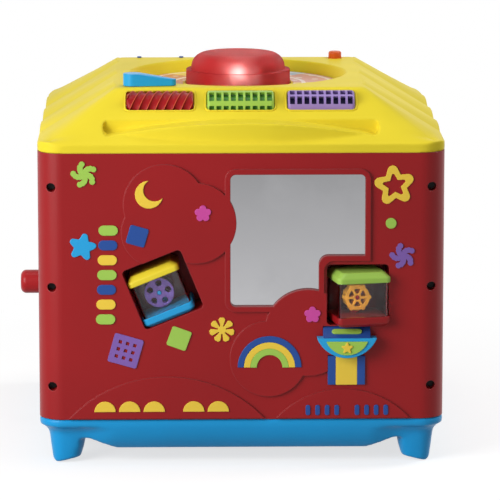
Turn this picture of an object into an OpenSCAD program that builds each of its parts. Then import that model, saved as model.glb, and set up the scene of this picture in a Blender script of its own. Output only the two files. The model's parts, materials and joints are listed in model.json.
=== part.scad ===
// Toddler activity cube: a box of shells on a footed base, under a hipped roof with a basin.
// Millimetres. X runs to the right, Y from the front to the back, and Z up.
// The origin is on the floor, under the middle of the box.

/* [Body] */
// Outer width of the body
body_w = 380; // [376:1:430]
// Outer depth of the body
body_d = 380; // [376:1:430]
// Height of the body between the base and the roof
body_h = 252; // [250:1:300]
// Radius of the upright corners
corner_r = 24; // [20:1:28]
// Thickness of the body panels
panel_t = 3; // [2.4:0.1:3.6]
// How far the front and back shells wrap round the corners
wrap_d = 40; // [36:1:60]
// Height of the raised forms on the shells
relief_t = 2.5; // [1.5:0.1:3]
// Thickness of the coloured figures
trim_t = 1.2; // [0.8:0.1:2]

/* [Screws] */
// Distance from the side faces to the panel screws
screw_in = 13; // [12:0.5:15]
// Height of the lowest panel screws above the base
screw_low_h = 31.5; // [26:0.5:50]
// Distance from the roof down to the highest panel screws
screw_top_in = 32; // [26:1:50]
// Radius of the deep holes over the panel screws
screw_hole_r = 4.2; // [3.8:0.1:4.6]
// Radius of the screw heads
screw_head_r = 3.4; // [3:0.1:3.6]
// Height of the screw heads
screw_head_t = 1.8; // [1.4:0.1:2.2]
// Radius of the screw threads
screw_r = 1.5; // [1.2:0.1:1.7]
// Radius of the bosses that take the screws
boss_r = 6; // [5.5:0.1:6.5]

/* [Base] */
// Height of the base
base_h = 44; // [42:1:60]
// Height of the flange at the top of the base
flange_h = 8; // [6:1:10]
// How far the skirt slopes in at its lower edge
skirt_in = 12; // [8:1:14]
// Height of the skirt's lower edge above the floor
skirt_gap = 14; // [10:1:16]
// Thickness of the base walls
base_t = 3; // [2.4:0.1:3.6]
// Width of a foot on the floor
foot_w = 26; // [22:1:28]
// Width of a foot at its root
foot_root_w = 38; // [34:1:42]
// Distance from the side faces to a foot on the floor
foot_in = 12.5; // [11:0.5:16]

/* [Roof] */
// Height of the upright eave band
eave_h = 8; // [6:1:12]
// Height of the roof's slopes
roof_rise = 44; // [42:1:56]
// Width of the roof's slopes, seen from above
slope_run = 73; // [66:1:76]
// Thickness of the roof
roof_t = 3; // [2.4:0.1:3.6]
// Number of ribs on each side slope
rib_count = 3; // [2:1:4]
// Spacing of the ribs
rib_pitch = 88; // [76:1:92]
// Width of a rib
rib_w = 68; // [50:1:74]
// Height of a rib
rib_t = 4; // [3:0.5:6]
// Height of a rib at the flat top
rib_top_t = 1.5; // [1:0.5:3]
// Distance from the side faces to the ends of the finger scoop
scoop_in = 61; // [56:1:80]
// Height of the finger scoop at its ends
scoop_h = 14; // [10:1:16]
// How far the scoop reaches back from the front face
scoop_d = 32; // [30:1:38]
// How far the arched lip stops short of the scoop's ends
arch_in = 4; // [3:0.5:8]
// Rise of the arch from its ends to its middle
arch_rise = 13; // [8:1:14]

/* [Basin and turntable] */
// Width of the flat top round the basin, at its narrowest
basin_rim = 12; // [10:1:15]
// How far the basin's wall slopes in
basin_slant = 6; // [4:1:9]
// Depth of the basin
basin_depth = 15; // [13:1:18]
// Thickness of the turntable
disc_t = 4; // [3:0.5:5]
// Gap round and under the turntable
disc_gap = 0.4; // [0.3:0.1:1]

/* [Dome] */
// Radius of the dome's skirt
dome_r = 50.5; // [48:0.5:51]
// Radius of the dome above its shoulder
dome_top_r = 45.5; // [42:0.5:46]
// Height of the dome above the roof's flat top
dome_h = 19; // [18:1:26]
// Rounding of the dome's upper edge
dome_edge_r = 14; // [10:1:15]
// Wall of the dome
dome_t = 2.5; // [2:0.1:3]
// How far the dome presses down
dome_travel = 5; // [3:0.5:5]
// Gap between the dome and its collar
dome_gap = 1.1; // [0.6:0.1:1.4]

/* [Rollers] */
// Space between the rollers' slots
slot_space = 11; // [8.5:0.5:14]
// Radius of the rollers
roller_r = 15; // [13:0.5:15]
// How far the slots stop short of the flat top's width
slot_margin = 7; // [0:0.5:8]
// Rounding of the rollers' ends
roller_edge = 3; // [2:0.1:3]
// Distance from the top edge down the slope to the rollers' axis
roller_down = 20; // [18:0.5:22]
// Depth of the rollers' axis below the slope
roller_sink = 7; // [6:0.5:9]
// Radius of the axles
axle_r = 2; // [1.5:0.1:2.5]
// Number of window columns on a cage roller
cage_columns = 9; // [7:1:9]
// Number of ridges on the twisted roller
ridge_count = 5; // [4:1:7]
// Length of roller over which a ridge goes once round
ridge_lead = 40; // [36:1:60]

/* [Paddle and button] */
// Length of the paddle from its pivot to its tip
paddle_len = 36; // [34:1:42]
// Height of the paddle at its pivot
paddle_h = 11.5; // [10:0.5:15]
// Height of the paddle at its tip
paddle_tip_h = 6; // [5:0.5:8]
// Radius of the paddle at its pivot
paddle_r = 9; // [8:0.5:10]
// Radius of the paddle at its tip
paddle_tip_r = 5; // [4:0.5:6]
// Radius of the paddle's pin
paddle_pin_r = 3; // [2.5:0.1:3.5]
// Radius of the push button
button_r = 6.5; // [5:0.5:7]
// Height of the push button above the flat top
button_h = 7; // [5:0.5:9]
// How far the push button travels
button_travel = 3.5; // [2:0.5:4]

/* [Mirror] */
// Left edge of the mirror window, from the middle
window_left = 10.4; // [8:0.1:14]
// Right edge of the mirror window, from the middle
window_right = 115.2; // [110:0.1:118]
// Lower edge of the mirror window, above the base
window_low = 107.5; // [106:0.5:112]
// Distance from the roof down to the mirror window
window_drop = 19.8; // [18:0.1:24]
// Wall between the mirror window and the side of the right pocket
step_side = 7.5; // [6.5:0.5:9]
// Wall between the mirror window and the top of the right pocket
step_up = 8.5; // [6:0.5:9]
// Width of the raised rim round the window
rim_w = 5; // [3:0.5:5]
// How far the mirror laps behind the shell
mirror_lap = 2.2; // [1.5:0.1:2.5]
// Thickness of the mirror
mirror_t = 2; // [1.5:0.1:3]
// Thickness of the mirror's backing plate
backing_t = 2; // [1.5:0.1:3]

/* [Pockets and blocks] */
// Side of a play block
block_w = 51; // [48:0.5:51]
// Height of a block's base
block_base_h = 9; // [7:0.5:10]
// Height of a block's cap
block_cap_h = 10; // [8:0.5:11]
// Wall of a block's clear case
case_t = 1.6; // [1.2:0.1:2]
// How far the case stands in from the block's sides
case_in = 1.7; // [1:0.1:2]
// Width of the left pocket
left_pocket_w = 59; // [58.5:0.5:60]
// Height of the left pocket
left_pocket_h = 60; // [59.5:0.5:61]
// Tilt of the left pocket, in degrees
left_tilt = 22; // [10:1:25]
// Width of the right pocket
right_pocket_w = 58; // [58:0.1:59]
// Height of the right pocket
right_pocket_h = 57; // [56.5:0.5:57.5]
// Turn of the right block in its pocket, in degrees
right_turn = 12; // [8:0.5:12]
// Depth of the pockets behind the front face
pocket_d = 56; // [54:1:60]
// Wall of the pockets
pocket_t = 1.8; // [1.4:0.1:2]
// Gap between a block and the walls that it rests against
block_gap = 0.3; // [0.2:0.1:0.6]

/* [Shelf] */
// Width of the half-round shelf
shelf_w = 56; // [50:1:58]
// Height of the shelf's front
shelf_h = 19; // [16:0.5:20]
// How far the shelf stands out
shelf_d = 14; // [10:1:18]
// Width of the striped column
column_w = 35; // [30:1:38]
// Height of the striped column
column_h = 27.6; // [22:0.1:28]

/* [Knob] */
// Radius of the side knob
knob_r = 11.5; // [10:0.5:13]
// How far the knob stands out
knob_len = 23; // [16:1:26]
// Height of the knob above the base
knob_h = 97; // [90:1:110]
// Radius of the knob's shaft
knob_shaft_r = 4; // [3:0.1:5]

/* [Hidden] */
$fn = 48;

// Running and seating clearances
fit = 0.05;
run = 0.3;
bush_fit = 0.08;
loose = 0.4;
over = 1;

// Levels
eave_z = base_h + body_h;
slope_z = eave_z + eave_h;
top_z = slope_z + roof_rise;
deck_z = base_h - base_t;
basin_z = top_z - basin_depth;
basin_under_z = basin_z - roof_t;

// The walls' art and openings are laid out for a face of 380 by 252, and follow the body's size
wide = body_w / 380;
deep = body_d / 380;
high = body_h / 252;
art = min(wide, high);
$face = wide;

// The flat top keeps the same distance to all four sides
top_w = body_w - 2 * slope_run;
top_d = body_d - 2 * slope_run;
pitch = roof_rise / slope_run;
basin_r = min(top_w, top_d) / 2 - basin_rim;
basin_floor_r = basin_r - basin_slant;
slope_deg = atan2(roof_rise, slope_run);
slope_len = norm([roof_rise, slope_run]);

// Panel screws and the seams between the shells and the side walls
screw_high_h = body_h - screw_top_in;
screw_rows = [screw_low_h, (screw_low_h + screw_high_h) / 2, screw_high_h];
screw_x = body_w / 2 - screw_in;
screw_len = 14;
sleeve_d = 18;
sleeve_floor = 4;
pilot_d = screw_len + 2;
side_half = body_d / 2 - wrap_d;
boss_back = 10;
boss_rib_t = 4;
lug_in = 18;
lug_y = 120;
lug_w = 16;
lug_t = 4;
base_block_h = 14;

// Feet, skirt notches and the bottom cover
foot_lean = -1.5;
foot_c = body_w / 2 - foot_in - foot_w / 2;
foot_cy = body_d / 2 - foot_in - foot_w / 2;
notch_w = 26;
notch_peak = 5;
notch_rise = 11;
skirt_lip = 8;
cover_z = skirt_gap + notch_rise + 1;
cover_t = base_t;
cover_reach = skirt_in + base_t - 1;
cover_post_x = 110;
cover_post_y = 150;
cell_r = 7.1;
cell_l = 50;
cell_count = 3;
cell_pitch = 15.5;
tray_t = 2;
tray_w = cell_pitch * cell_count + 2;
tray_l = cell_l + 5;
tray_h = 17;
door_lap = 2;
door_tab_w = 10;
door_screw_y = tray_l / 2 + boss_r;

// Front art: raised forms, in X and in height above the base
function laid_out(rounds) = [for (c = rounds) [c[0] * wide, c[1] * high, c[2] * art]];
cloud = laid_out([[-42.8, 186.5, 38], [-72, 204, 38], [-80, 178, 32]]);
bush = laid_out([[62, 82.5, 41], [25, 58, 36]]);
hills = laid_out([[-70, -84, 125], [95, -55, 84]]);

// Pockets, in X and in height above the base
left_block_x = -75.5 * wide;
left_block_h = 118.5 * high;
right_pocket_x = 79.5 * wide;
right_pocket_z = 90 * high;
window_x = -window_left * wide;
window_h = window_low * high;
window_w = (window_left + window_right) * wide;
window_l = body_h - window_drop - window_h;
step_x = right_pocket_x - step_side;
step_h = right_pocket_z + right_pocket_h + step_up;
pocket_r = 4;
block_r = 5;
block_foot = 3;
pocket_flange = 3.5;
pocket_flange_t = 2;
left_off_x = left_pocket_w / 2 - block_gap - block_w / 2;
left_off_h = left_pocket_h / 2 - block_gap - block_w / 2;
left_pocket_x = left_block_x + left_off_x * cos(left_tilt) - left_off_h * sin(left_tilt);
left_pocket_z = left_block_h + left_off_x * sin(left_tilt) + left_off_h * cos(left_tilt);
left_block_y = -body_d / 2 + 2 + block_w / 2;
turned_half = (block_w / 2 - block_r) * (cos(right_turn) + sin(right_turn)) + block_r;
right_block_x = right_pocket_x + block_gap + turned_half;
right_block_h = right_pocket_z + block_gap + block_w / 2;
right_block_y = -body_d / 2 + 9.5;
case_w = block_w - 2 * case_in;
case_z0 = block_base_h - block_w / 2;
case_z1 = block_w / 2 - block_cap_h;
cap_bevel = 5;
spin_pin_r = 2;
spin_t = 10;
spinner_r = 14;
ring_r = 12;

// Shelf under the right pocket
shelf_x = right_pocket_x + 18.5;
shelf_top_h = right_pocket_z - 10.4;
ramp_w = 44;
ramp_h = 9.4;
shelf_r = (shelf_w * shelf_w / 4 + shelf_h * shelf_h) / (2 * shelf_h);
column_side_w = 7.5;

// Rollers
lug_wall = 3.5;
roller_pitch = (top_w - slot_margin) / 3;
slot_w = roller_pitch - slot_space;
roller_len = slot_w - 2;
roller_wall = 3.5;
slot_gap = 0.5;
slot_half = sqrt(roller_r * roller_r - pow(roller_sink - roof_t, 2)) + slot_gap;
slot_r = 4;
window_share = 0.68;
ridge_t = 2.4;
ridge_w = 2.2;
// Window rows round the cages: the angles of their middles and the angle that a window spans
green_rows = [10, 70, 130, 190, 250, 310];
green_span = 41;
purple_rows = [28, 148, 268, -12, 108, 228];
purple_span = 30;

// Dome, lamp and turntable
dome_top_z = top_z + dome_h;
shoulder_z = top_z + 3;
collar_r = dome_r + dome_gap + 1.8;
collar_top = basin_z + disc_gap + disc_t + 1;
disc_r = basin_floor_r - 1.5 * disc_gap;
dome_flange_r = dome_r + 4;
dome_flange_t = 2.3;
dome_foot_z = basin_under_z - run - dome_flange_t;
carrier_t = 2.5;
cup_r = dome_flange_r + 1.5;
cup_t = 2.5;
cup_flange_r = cup_r + 12;
cup_h = 24;
cup_z = basin_under_z - cup_h;
post_r = 9;
post_top = basin_z + 10;
board_t = 1.6;
dome_spring_r = 12.5;
spring_wire_r = 0.8;
led_r = 4.5;
led_h = 8;
switch_r = 4;

// Paddle and button places on the flat top
paddle_x = -top_w / 2 + 15.5;
paddle_y = -top_d / 2 + 14;
button_x = top_w / 2 - 18;
button_y = top_d / 2 - 10.5;
button_flange_r = button_r + 2.1;
guide_t = 2;
guide_h = 16;
plug_t = 3;
plug_spigot = 2;
button_spring_r = 5.5;
rim_plug_r = 2.2;
rim_plug_h = 1.4;
rim_plugs_x = [-top_w / 2 + 20, -top_w / 2 + 62];
rim_plugs_y = top_d / 2 - 6;

// Knob and its clicker
wheel_r = 13;
wheel_t = 6;
wheel_notches = 10;
leaf_t = 0.8;
leaf_w = 5;
leaf_l = 30;
bezel_gap = 0.4;
knob_edge = 5.5;

// Sound and power parts on the back wall
speaker_r = 28;
speaker_h = 150;
speaker_d = 24;
grille_r = 2;
grille_pitch = 8;
seat_t = 2;
seat_d = 6;
board_w = 96;
board_l = 64;
board_x = 60;
board_h = 60;
standoff_l = 5;
standoff_r = 3.5;
switch_x = 84;
switch_h = 60;
slider_w = 9;
slider_h = 6;
slider_travel = 8;
slider_out = 2.5;
slider_plate_t = 1.8;
switch_body_t = standoff_l - slider_plate_t - 2 * run;

body_red = [0.68, 0.14, 0.15];
roof_yellow = [0.95, 0.86, 0.22];
base_blue = [0.1, 0.55, 0.84];
dark_blue = [0.16, 0.3, 0.62];
light_blue = [0.2, 0.65, 0.88];
leaf_green = [0.63, 0.8, 0.35];
dark_green = [0.2, 0.5, 0.22];
violet = [0.5, 0.38, 0.72];
navy = [0.12, 0.1, 0.28];
pink = [0.83, 0.35, 0.62];
amber = [0.94, 0.66, 0.16];
steel = [0.7, 0.71, 0.73];
board_green = [0.1, 0.4, 0.2];
dark_grey = [0.2, 0.2, 0.22];
pale = [0.9, 0.9, 0.88];

// Basic forms

module rounded_rect(w, d, r) {
    square([w - 2 * r, d], center = true);
    square([w, d - 2 * r], center = true);
    for (sx = [-1, 1], sy = [-1, 1]) {
        translate([sx * (w / 2 - r), sy * (d / 2 - r)]) circle(r);
    }
}

module rounded_box(w, d, h, r) {
    linear_extrude(h) rounded_rect(w, d, r);
}

module tube(r_out, r_in, h) {
    difference() {
        cylinder(r = r_out, h = h);
        translate([0, 0, -over]) cylinder(r = r_in, h = h + 2 * over);
    }
}

module rod_x(r, l) {
    rotate([0, 90, 0]) cylinder(r = r, h = l, center = true);
}

module rod_y(r, y0, y1) {
    translate([0, y0, 0]) rotate([-90, 0, 0]) cylinder(r = r, h = y1 - y0);
}

// A coil spring of round wire, standing on z = 0
function coil_point(r, h, turns, t) = [r * cos(360 * turns * t), r * sin(360 * turns * t), h * t];

// Faces of a skin over rings of points, with both ends closed
function ring_faces(steps, sides) = concat(
    [[for (j = [0:sides - 1]) j]],
    [[for (j = [sides - 1:-1:0]) steps * sides + j]],
    [
        for (i = [0:steps - 1], j = [0:sides - 1])
            let (k = (j + 1) % sides, a = i * sides, b = (i + 1) * sides)
            each [[a + j, b + j, b + k], [a + j, b + k, a + k]]
    ]
);

module coil(r, wire_r, h, turns) {
    steps = turns * 12;
    sides = 6;
    rings = [
        for (i = [0:steps])
            let (turn = 360 * turns * i / steps, c = coil_point(r, h - 2 * wire_r, turns, i / steps))
            for (j = [0:sides - 1])
                let (a = 360 * j / sides, out = wire_r * cos(a), up = wire_r * sin(a) + wire_r)
                [c.x + out * cos(turn), c.y + out * sin(turn), c.z + up]
    ];
    polyhedron(rings, ring_faces(steps, sides));
}

// A screw with its head's seat at z = 0 and its thread up along Z
module screw(l = screw_len) {
    translate([0, 0, -screw_head_t]) cylinder(r = screw_head_r, h = screw_head_t);
    cylinder(r = screw_r, h = l);
}

// Planes of the four walls: X to the viewer's right, Y up from the base, Z outwards

module on_front() {
    translate([0, -body_d / 2, base_h]) rotate([90, 0, 0]) children();
}

module on_back() {
    translate([0, body_d / 2, base_h]) rotate([90, 0, 180]) children();
}

module on_left() {
    $face = deep;
    translate([-body_w / 2, 0, base_h]) rotate([90, 0, -90]) children();
}

module on_right() {
    $face = deep;
    translate([body_w / 2, 0, base_h]) rotate([90, 0, 90]) children();
}

module figure_at(x, h, turn = 0) {
    translate([x * $face, h * high, 0]) rotate(turn) linear_extrude(trim_t) scale(min($face, high))
        children();
}

module raised_figure_at(x, h, turn = 0) {
    translate([0, 0, relief_t]) figure_at(x, h, turn) children();
}

// Figures for the walls

module pinwheel(d, blades) {
    for (i = [0:blades - 1]) rotate(i * 360 / blades) {
        for (t = [1:0.75:4]) rotate(-2.6 * t * t) translate([d * 0.098 * t, 0]) circle(d * 0.106);
    }
    circle(d * 0.14);
}

// A star with round tips of radius tip; inner is where its notches lie, as a share of d
module star(d, inner, tip) {
    far = d / 2 - tip;
    notch = d * inner * [sin(36), cos(36)];
    gap = [0, far] - notch;
    low = atan2(gap.y, gap.x) - asin(tip / norm(gap)) - 90;
    polygon([
        for (i = [0:4], k = [0:7])
            let (a = 180 - low - (180 - 2 * low) * k / 6, turn = -72 * i)
            let (p = k < 7 ? [tip * cos(a), far + tip * sin(a)] : notch)
            [p.x * cos(turn) - p.y * sin(turn), p.x * sin(turn) + p.y * cos(turn)]
    ]);
}

module star_outline(d) {
    difference() {
        star(d, 0.31, d * 0.13);
        star(d * 0.58, 0.27, d * 0.035);
    }
}

module petal_flower(d) {
    for (i = [0:6]) rotate(i * 360 / 7)
        polygon([
            [0, 0], [d * 0.14, d * 0.42], [d * 0.07, d * 0.5], [-d * 0.07, d * 0.5], [-d * 0.14, d * 0.42]
        ]);
    circle(d * 0.16);
}

module round_flower(d) {
    for (i = [0:4]) rotate(i * 72) translate([0, d * 0.29]) circle(d * 0.2);
    circle(d * 0.2);
}

module moon(d) {
    difference() {
        circle(d / 2);
        translate([d * 0.24, d * 0.08]) circle(d * 0.4);
    }
}

module arch_band(r_out, r_in) {
    difference() {
        circle(r_out);
        circle(r_in);
        translate([-r_out - over, -r_out - over]) square([2 * (r_out + over), r_out + over]);
    }
}

module pebble(r) {
    intersection() {
        circle(r);
        translate([-r, 0]) square([2 * r, r]);
    }
}

module bar(w, h) {
    square([w - h, h], center = true);
    for (s = [-1, 1]) translate([s * (w - h) / 2, 0]) circle(h / 2);
}

// Ladder rungs and other repeated figures, one colour at a time
rung_w = 18;
rung_h = 9.5;
rung_count = 7;
rung_step = 14;
rung_x = -127;
rung_low_h = 96;
rung_lean = 0.5;

module rungs(first) {
    for (i = [first:3:rung_count - 1]) {
        figure_at(rung_x + rung_lean * i, rung_low_h + rung_step * i) bar(rung_w, rung_h);
    }
}

rainbow_x = 26;
rainbow_h = 50;
rainbow_r = 30;
rainbow_band = 6;

module rainbow(i) {
    raised_figure_at(rainbow_x, rainbow_h) {
        arch_band(rainbow_r - i * rainbow_band - fit, rainbow_r - (i + 1) * rainbow_band);
    }
}

dot_square_x = -108.5;
dot_square_h = 66;
dot_square_w = 28;
dot_square_turn = -16;
dot_pitch = 7;
dot_w = 3.2;

shelf_inset_w = 38;
inset_drop = 3;

module shelf_outline(w, h, r) {
    intersection() {
        translate([0, r - h]) circle(r);
        translate([-w / 2, -h]) square([w, h]);
    }
}

module shelf_front(layer) {
    on_front() translate([shelf_x, shelf_top_h, shelf_d + layer * trim_t]) linear_extrude(trim_t)
        children();
}

// Mirror window, grown by g on every side
module window(g) {
    step_r = 9;
    difference() {
        translate([window_x + window_w / 2, window_h + window_l / 2]) {
            rounded_rect(window_w + 2 * g, window_l + 2 * g, 5 + g);
        }
        translate([cloud[0][0], cloud[0][1]]) circle(cloud[0][2] - g);
        translate([bush[0][0], bush[0][1]]) circle(bush[0][2] - g);
        translate([step_x + g + window_w / 2, step_h - g - window_l / 2])
            rounded_rect(window_w, window_l, step_r);
    }
}

module left_pocket_place() {
    translate([left_pocket_x, left_pocket_z]) rotate(left_tilt) children();
}

module left_opening(g) {
    left_pocket_place() rounded_rect(left_pocket_w + 2 * g, left_pocket_h + 2 * g, pocket_r + g);
}

module right_opening(g) {
    translate([right_pocket_x + right_pocket_w / 2, right_pocket_z + right_pocket_h / 2]) {
        rounded_rect(right_pocket_w + 2 * g, right_pocket_h + 2 * g, pocket_r + g);
    }
}

module front_relief() {
    difference() {
        union() {
            window(rim_w);
            for (c = cloud) translate([c[0], c[1]]) circle(c[2]);
            for (c = bush) translate([c[0], c[1]]) circle(c[2]);
            intersection() {
                for (c = hills) translate([c[0], c[1]]) circle(c[2]);
                translate([-body_w / 2, trim_t]) square([body_w, body_h]);
            }
        }
        window(0);
        left_opening(0);
        right_opening(0);
        translate([shelf_x, shelf_top_h]) {
            shelf_outline(shelf_w + 2 * fit, shelf_h + fit, shelf_r + fit);
            translate([-ramp_w / 2 - fit, -over]) square([ramp_w + 2 * fit, ramp_h + fit + over]);
        }
        translate([shelf_x - column_w / 2, shelf_top_h - shelf_h - column_h])
            square([column_w, column_h + over]);
    }
}

// A shell that wraps round two corners, with sleeves for its six screws; s is -1 in front, 1 behind
module wrapped_shell(s) {
    difference() {
        union() {
            translate([0, 0, base_h]) linear_extrude(body_h) intersection() {
                difference() {
                    rounded_rect(body_w, body_d, corner_r);
                    rounded_rect(body_w - 2 * panel_t, body_d - 2 * panel_t, corner_r - panel_t);
                }
                translate([-body_w / 2, s < 0 ? -body_d / 2 : side_half]) square([body_w, wrap_d]);
            }
            intersection() {
                translate([0, 0, base_h]) rounded_box(body_w, body_d, body_h, corner_r);
                shell_screws(s) rotate([0, 180, 0]) cylinder(r = boss_r, h = sleeve_d);
            }
        }
        shell_screws(s) {
            translate([0, 0, sleeve_floor - sleeve_d]) cylinder(r = screw_hole_r, h = sleeve_d);
            translate([0, 0, -sleeve_d - over]) cylinder(r = screw_r + run, h = sleeve_d);
        }
    }
}

// Places children at the six screws of one shell, with Z pointing out of the face
module shell_screws(s) {
    for (sx = [-1, 1], h = screw_rows) {
        translate([sx * screw_x, s * body_d / 2, base_h + h]) rotate([s < 0 ? 90 : -90, 0, 0]) children();
    }
}

// Body panels

mirror_screw_points = [
    [window_x - 9, window_h + 12], [window_x - 9, window_h + window_l - 12],
    [window_x + window_w + 9, window_h + window_l - 12], [window_x + window_w + 9, step_h + 12]
];
mirror_lug_r = 5;

module front_panel() {
    color(body_red) difference() {
        union() {
            wrapped_shell(-1);
            on_front() translate([0, 0, -panel_t / 2]) linear_extrude(relief_t + panel_t / 2)
                front_relief();
            on_front() for (p = mirror_screw_points) {
                translate([p.x, p.y, -panel_t - mirror_t])
                    cylinder(r = mirror_lug_r, h = mirror_t + panel_t / 2);
            }
        }
        on_front() translate([0, 0, -panel_t - over]) linear_extrude(panel_t + relief_t + 2 * over) {
            window(0);
            left_opening(0);
            right_opening(0);
        }
        on_front() for (p = mirror_screw_points) {
            translate([p.x, p.y, -panel_t - mirror_t - over])
                cylinder(r = screw_r + fit, h = mirror_t + panel_t);
        }
    }
}

module grille_holes() {
    for (i = [-2:2], j = [-2:2]) {
        x = grille_pitch * (i + j / 2);
        h = grille_pitch * j * sin(60);
        if (norm([x, h]) < 2.3 * grille_pitch) translate([x, h]) circle(grille_r);
    }
}

sun_r = 36;

module back_panel() {
    slot_l = slider_w + slider_travel + 1;
    color(body_red) difference() {
        union() {
            wrapped_shell(1);
            on_back() translate([0, speaker_h, -panel_t / 2]) linear_extrude(relief_t + panel_t / 2) {
                difference() {
                    circle(sun_r);
                    circle(sun_r - rim_w);
                }
            }
            on_back() translate([0, speaker_h, -panel_t - seat_d]) {
                tube(speaker_r + loose + seat_t, speaker_r + loose, seat_d + panel_t / 2);
            }
            on_back() for (sx = [-1, 1], sy = [-1, 1]) {
                translate([board_x, board_h, -panel_t - standoff_l])
                    translate([sx * (board_w / 2 - 6), sy * (board_l / 2 - 6), 0]) {
                    cylinder(r = standoff_r, h = standoff_l + panel_t / 2);
                }
            }
        }
        on_back() translate([0, speaker_h, -panel_t - over]) linear_extrude(panel_t + 2 * over)
            grille_holes();
        on_back() translate([switch_x - slider_w / 2 - run, switch_h - slider_h / 2 - run, -panel_t - over]) {
            cube([slot_l, slider_h + 2 * run, panel_t + 2 * over]);
        }
    }
}

// A flat side wall with its bosses and lugs, made for the right-hand side
module side_wall() {
    inner_x = body_w / 2 - panel_t;
    difference() {
        union() {
            translate([inner_x, -side_half, base_h]) cube([panel_t, 2 * side_half, body_h]);
            for (sy = [-1, 1]) mirror([0, sy < 0 ? 1 : 0, 0]) {
                for (h = screw_rows) translate([screw_x, 0, base_h + h]) {
                    rod_y(boss_r, side_half - boss_back, body_d / 2 - sleeve_d);
                    translate([0, side_half - boss_back, -boss_rib_t / 2]) {
                        cube([screw_in - panel_t / 2, boss_back, boss_rib_t]);
                    }
                }
                translate([inner_x - lug_in + panel_t - lug_w / 2, lug_y - lug_w / 2, eave_z - lug_t]) {
                    cube([lug_in + lug_w / 2 - panel_t / 2, lug_w, lug_t]);
                }
                translate([inner_x - lug_in + panel_t - lug_w / 2, lug_y - lug_w / 2, base_h]) {
                    cube([lug_in + lug_w / 2 - panel_t / 2, lug_w, base_block_h]);
                }
            }
        }
        for (sy = [-1, 1]) mirror([0, sy < 0 ? 1 : 0, 0]) {
            for (h = screw_rows) translate([screw_x, 0, base_h + h]) {
                rod_y(screw_r + fit, body_d / 2 - sleeve_d - pilot_d, body_d / 2);
            }
            translate([body_w / 2 - lug_in, lug_y, eave_z - lug_t - over]) {
                cylinder(r = screw_r + run, h = lug_t + 2 * over);
            }
            translate([body_w / 2 - lug_in, lug_y, base_h - over])
                cylinder(r = screw_r + fit, h = pilot_d - 3);
        }
    }
}

module right_panel() {
    color(body_red) side_wall();
}

leaf_post = 8;

module left_panel() {
    color(body_red) difference() {
        union() {
            mirror([1, 0, 0]) side_wall();
            translate([-body_w / 2 + panel_t / 2, wheel_r + loose + leaf_t, base_h + knob_h])
                translate([0, 0, leaf_l / 2 - leaf_post]) {
                cube([panel_t / 2 + loose + wheel_t, leaf_post, leaf_post]);
            }
        }
        translate([-body_w / 2, 0, base_h + knob_h]) rod_x(knob_shaft_r + bush_fit, 4 * panel_t);
    }
}

module panel_screws() {
    color(steel) for (s = [-1, 1]) shell_screws(s) {
        translate([0, 0, sleeve_floor - sleeve_d]) rotate([180, 0, 0]) screw();
    }
}

// Base

module skirt(t) {
    hull() {
        translate([0, 0, base_h - flange_h]) {
            rounded_box(body_w - 2 * skirt_lip - 2 * t, body_d - 2 * skirt_lip - 2 * t, fit,
                corner_r - skirt_lip - t, $fn = 32);
        }
        translate([0, 0, skirt_gap]) {
            rounded_box(body_w - 2 * skirt_in - 2 * t, body_d - 2 * skirt_in - 2 * t, fit,
                corner_r - skirt_lip - t, $fn = 32);
        }
    }
}

module foot() {
    hull() {
        rounded_box(foot_w, foot_w, fit, foot_w * 0.4, $fn = 32);
        translate([foot_lean, foot_lean, base_h - flange_h])
            rounded_box(foot_root_w, foot_root_w, fit, foot_root_w * 0.4, $fn = 32);
    }
}

// Wedge cut out of the skirt beside one foot, drawn in X and Z
module skirt_notch(root) {
    polygon([
        [root - notch_w, -over], [root - notch_w, skirt_gap], [root - notch_peak, skirt_gap + notch_rise],
        [root + notch_w / 3, skirt_gap + notch_rise], [root + notch_w / 3, -over]
    ]);
}

module skirt_notches() {
    for (s = [0, 1]) mirror([s, 0, 0]) {
        rotate([90, 0, 0]) linear_extrude(body_d + 2 * over, center = true)
            skirt_notch(foot_c + foot_lean - foot_root_w / 2);
    }
    for (s = [0, 1]) mirror([0, s, 0]) {
        rotate([90, 0, 90]) linear_extrude(body_w + 2 * over, center = true)
            skirt_notch(foot_cy + foot_lean - foot_root_w / 2);
    }
}

module cover_posts() {
    for (sx = [-1, 1], sy = [-1, 1]) translate([sx * cover_post_x, sy * cover_post_y, 0]) children();
}

module wall_lugs() {
    for (sx = [-1, 1], sy = [-1, 1]) translate([sx * (body_w / 2 - lug_in), sy * lug_y, 0]) children();
}

module base_tray() {
    inner_w = body_w - 2 * skirt_lip - 2 * base_t;
    inner_d = body_d - 2 * skirt_lip - 2 * base_t;
    color(base_blue) difference() {
        union() {
            difference() {
                union() {
                    translate([0, 0, base_h - flange_h]) rounded_box(body_w, body_d, flange_h, corner_r);
                    skirt(0);
                }
                skirt(base_t);
                translate([0, 0, base_h - flange_h - fit]) {
                    rounded_box(inner_w, inner_d, flange_h - base_t + fit, corner_r - skirt_lip - base_t);
                }
                translate([0, 0, skirt_gap - over]) {
                    rounded_box(body_w - 2 * (skirt_in + base_t), body_d - 2 * (skirt_in + base_t),
                        2 * over,
                        corner_r - skirt_lip - base_t);
                }
                skirt_notches();
            }
            for (ax = [0, 1], ay = [0, 1]) mirror([ax, 0, 0]) mirror([0, ay, 0])
                translate([foot_c, foot_cy, 0]) foot();
            cover_posts() translate([0, 0, cover_z + cover_t])
                cylinder(r = boss_r, h = deck_z - cover_z - cover_t + fit);
        }
        cover_posts() translate([0, 0, cover_z]) cylinder(r = screw_r + fit, h = pilot_d);
        wall_lugs() translate([0, 0, deck_z - over]) cylinder(r = screw_r + run, h = base_t + 2 * over);
        translate([0, 0, deck_z - over]) {
            rounded_box(tray_w + 2 * tray_t + 2 * loose, tray_l + 2 * tray_t + 2 * loose, base_t + 2 * over, 3);
            translate([0, door_screw_y, 0]) cylinder(r = boss_r + loose, h = base_t + 2 * over);
        }
    }
}

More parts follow.
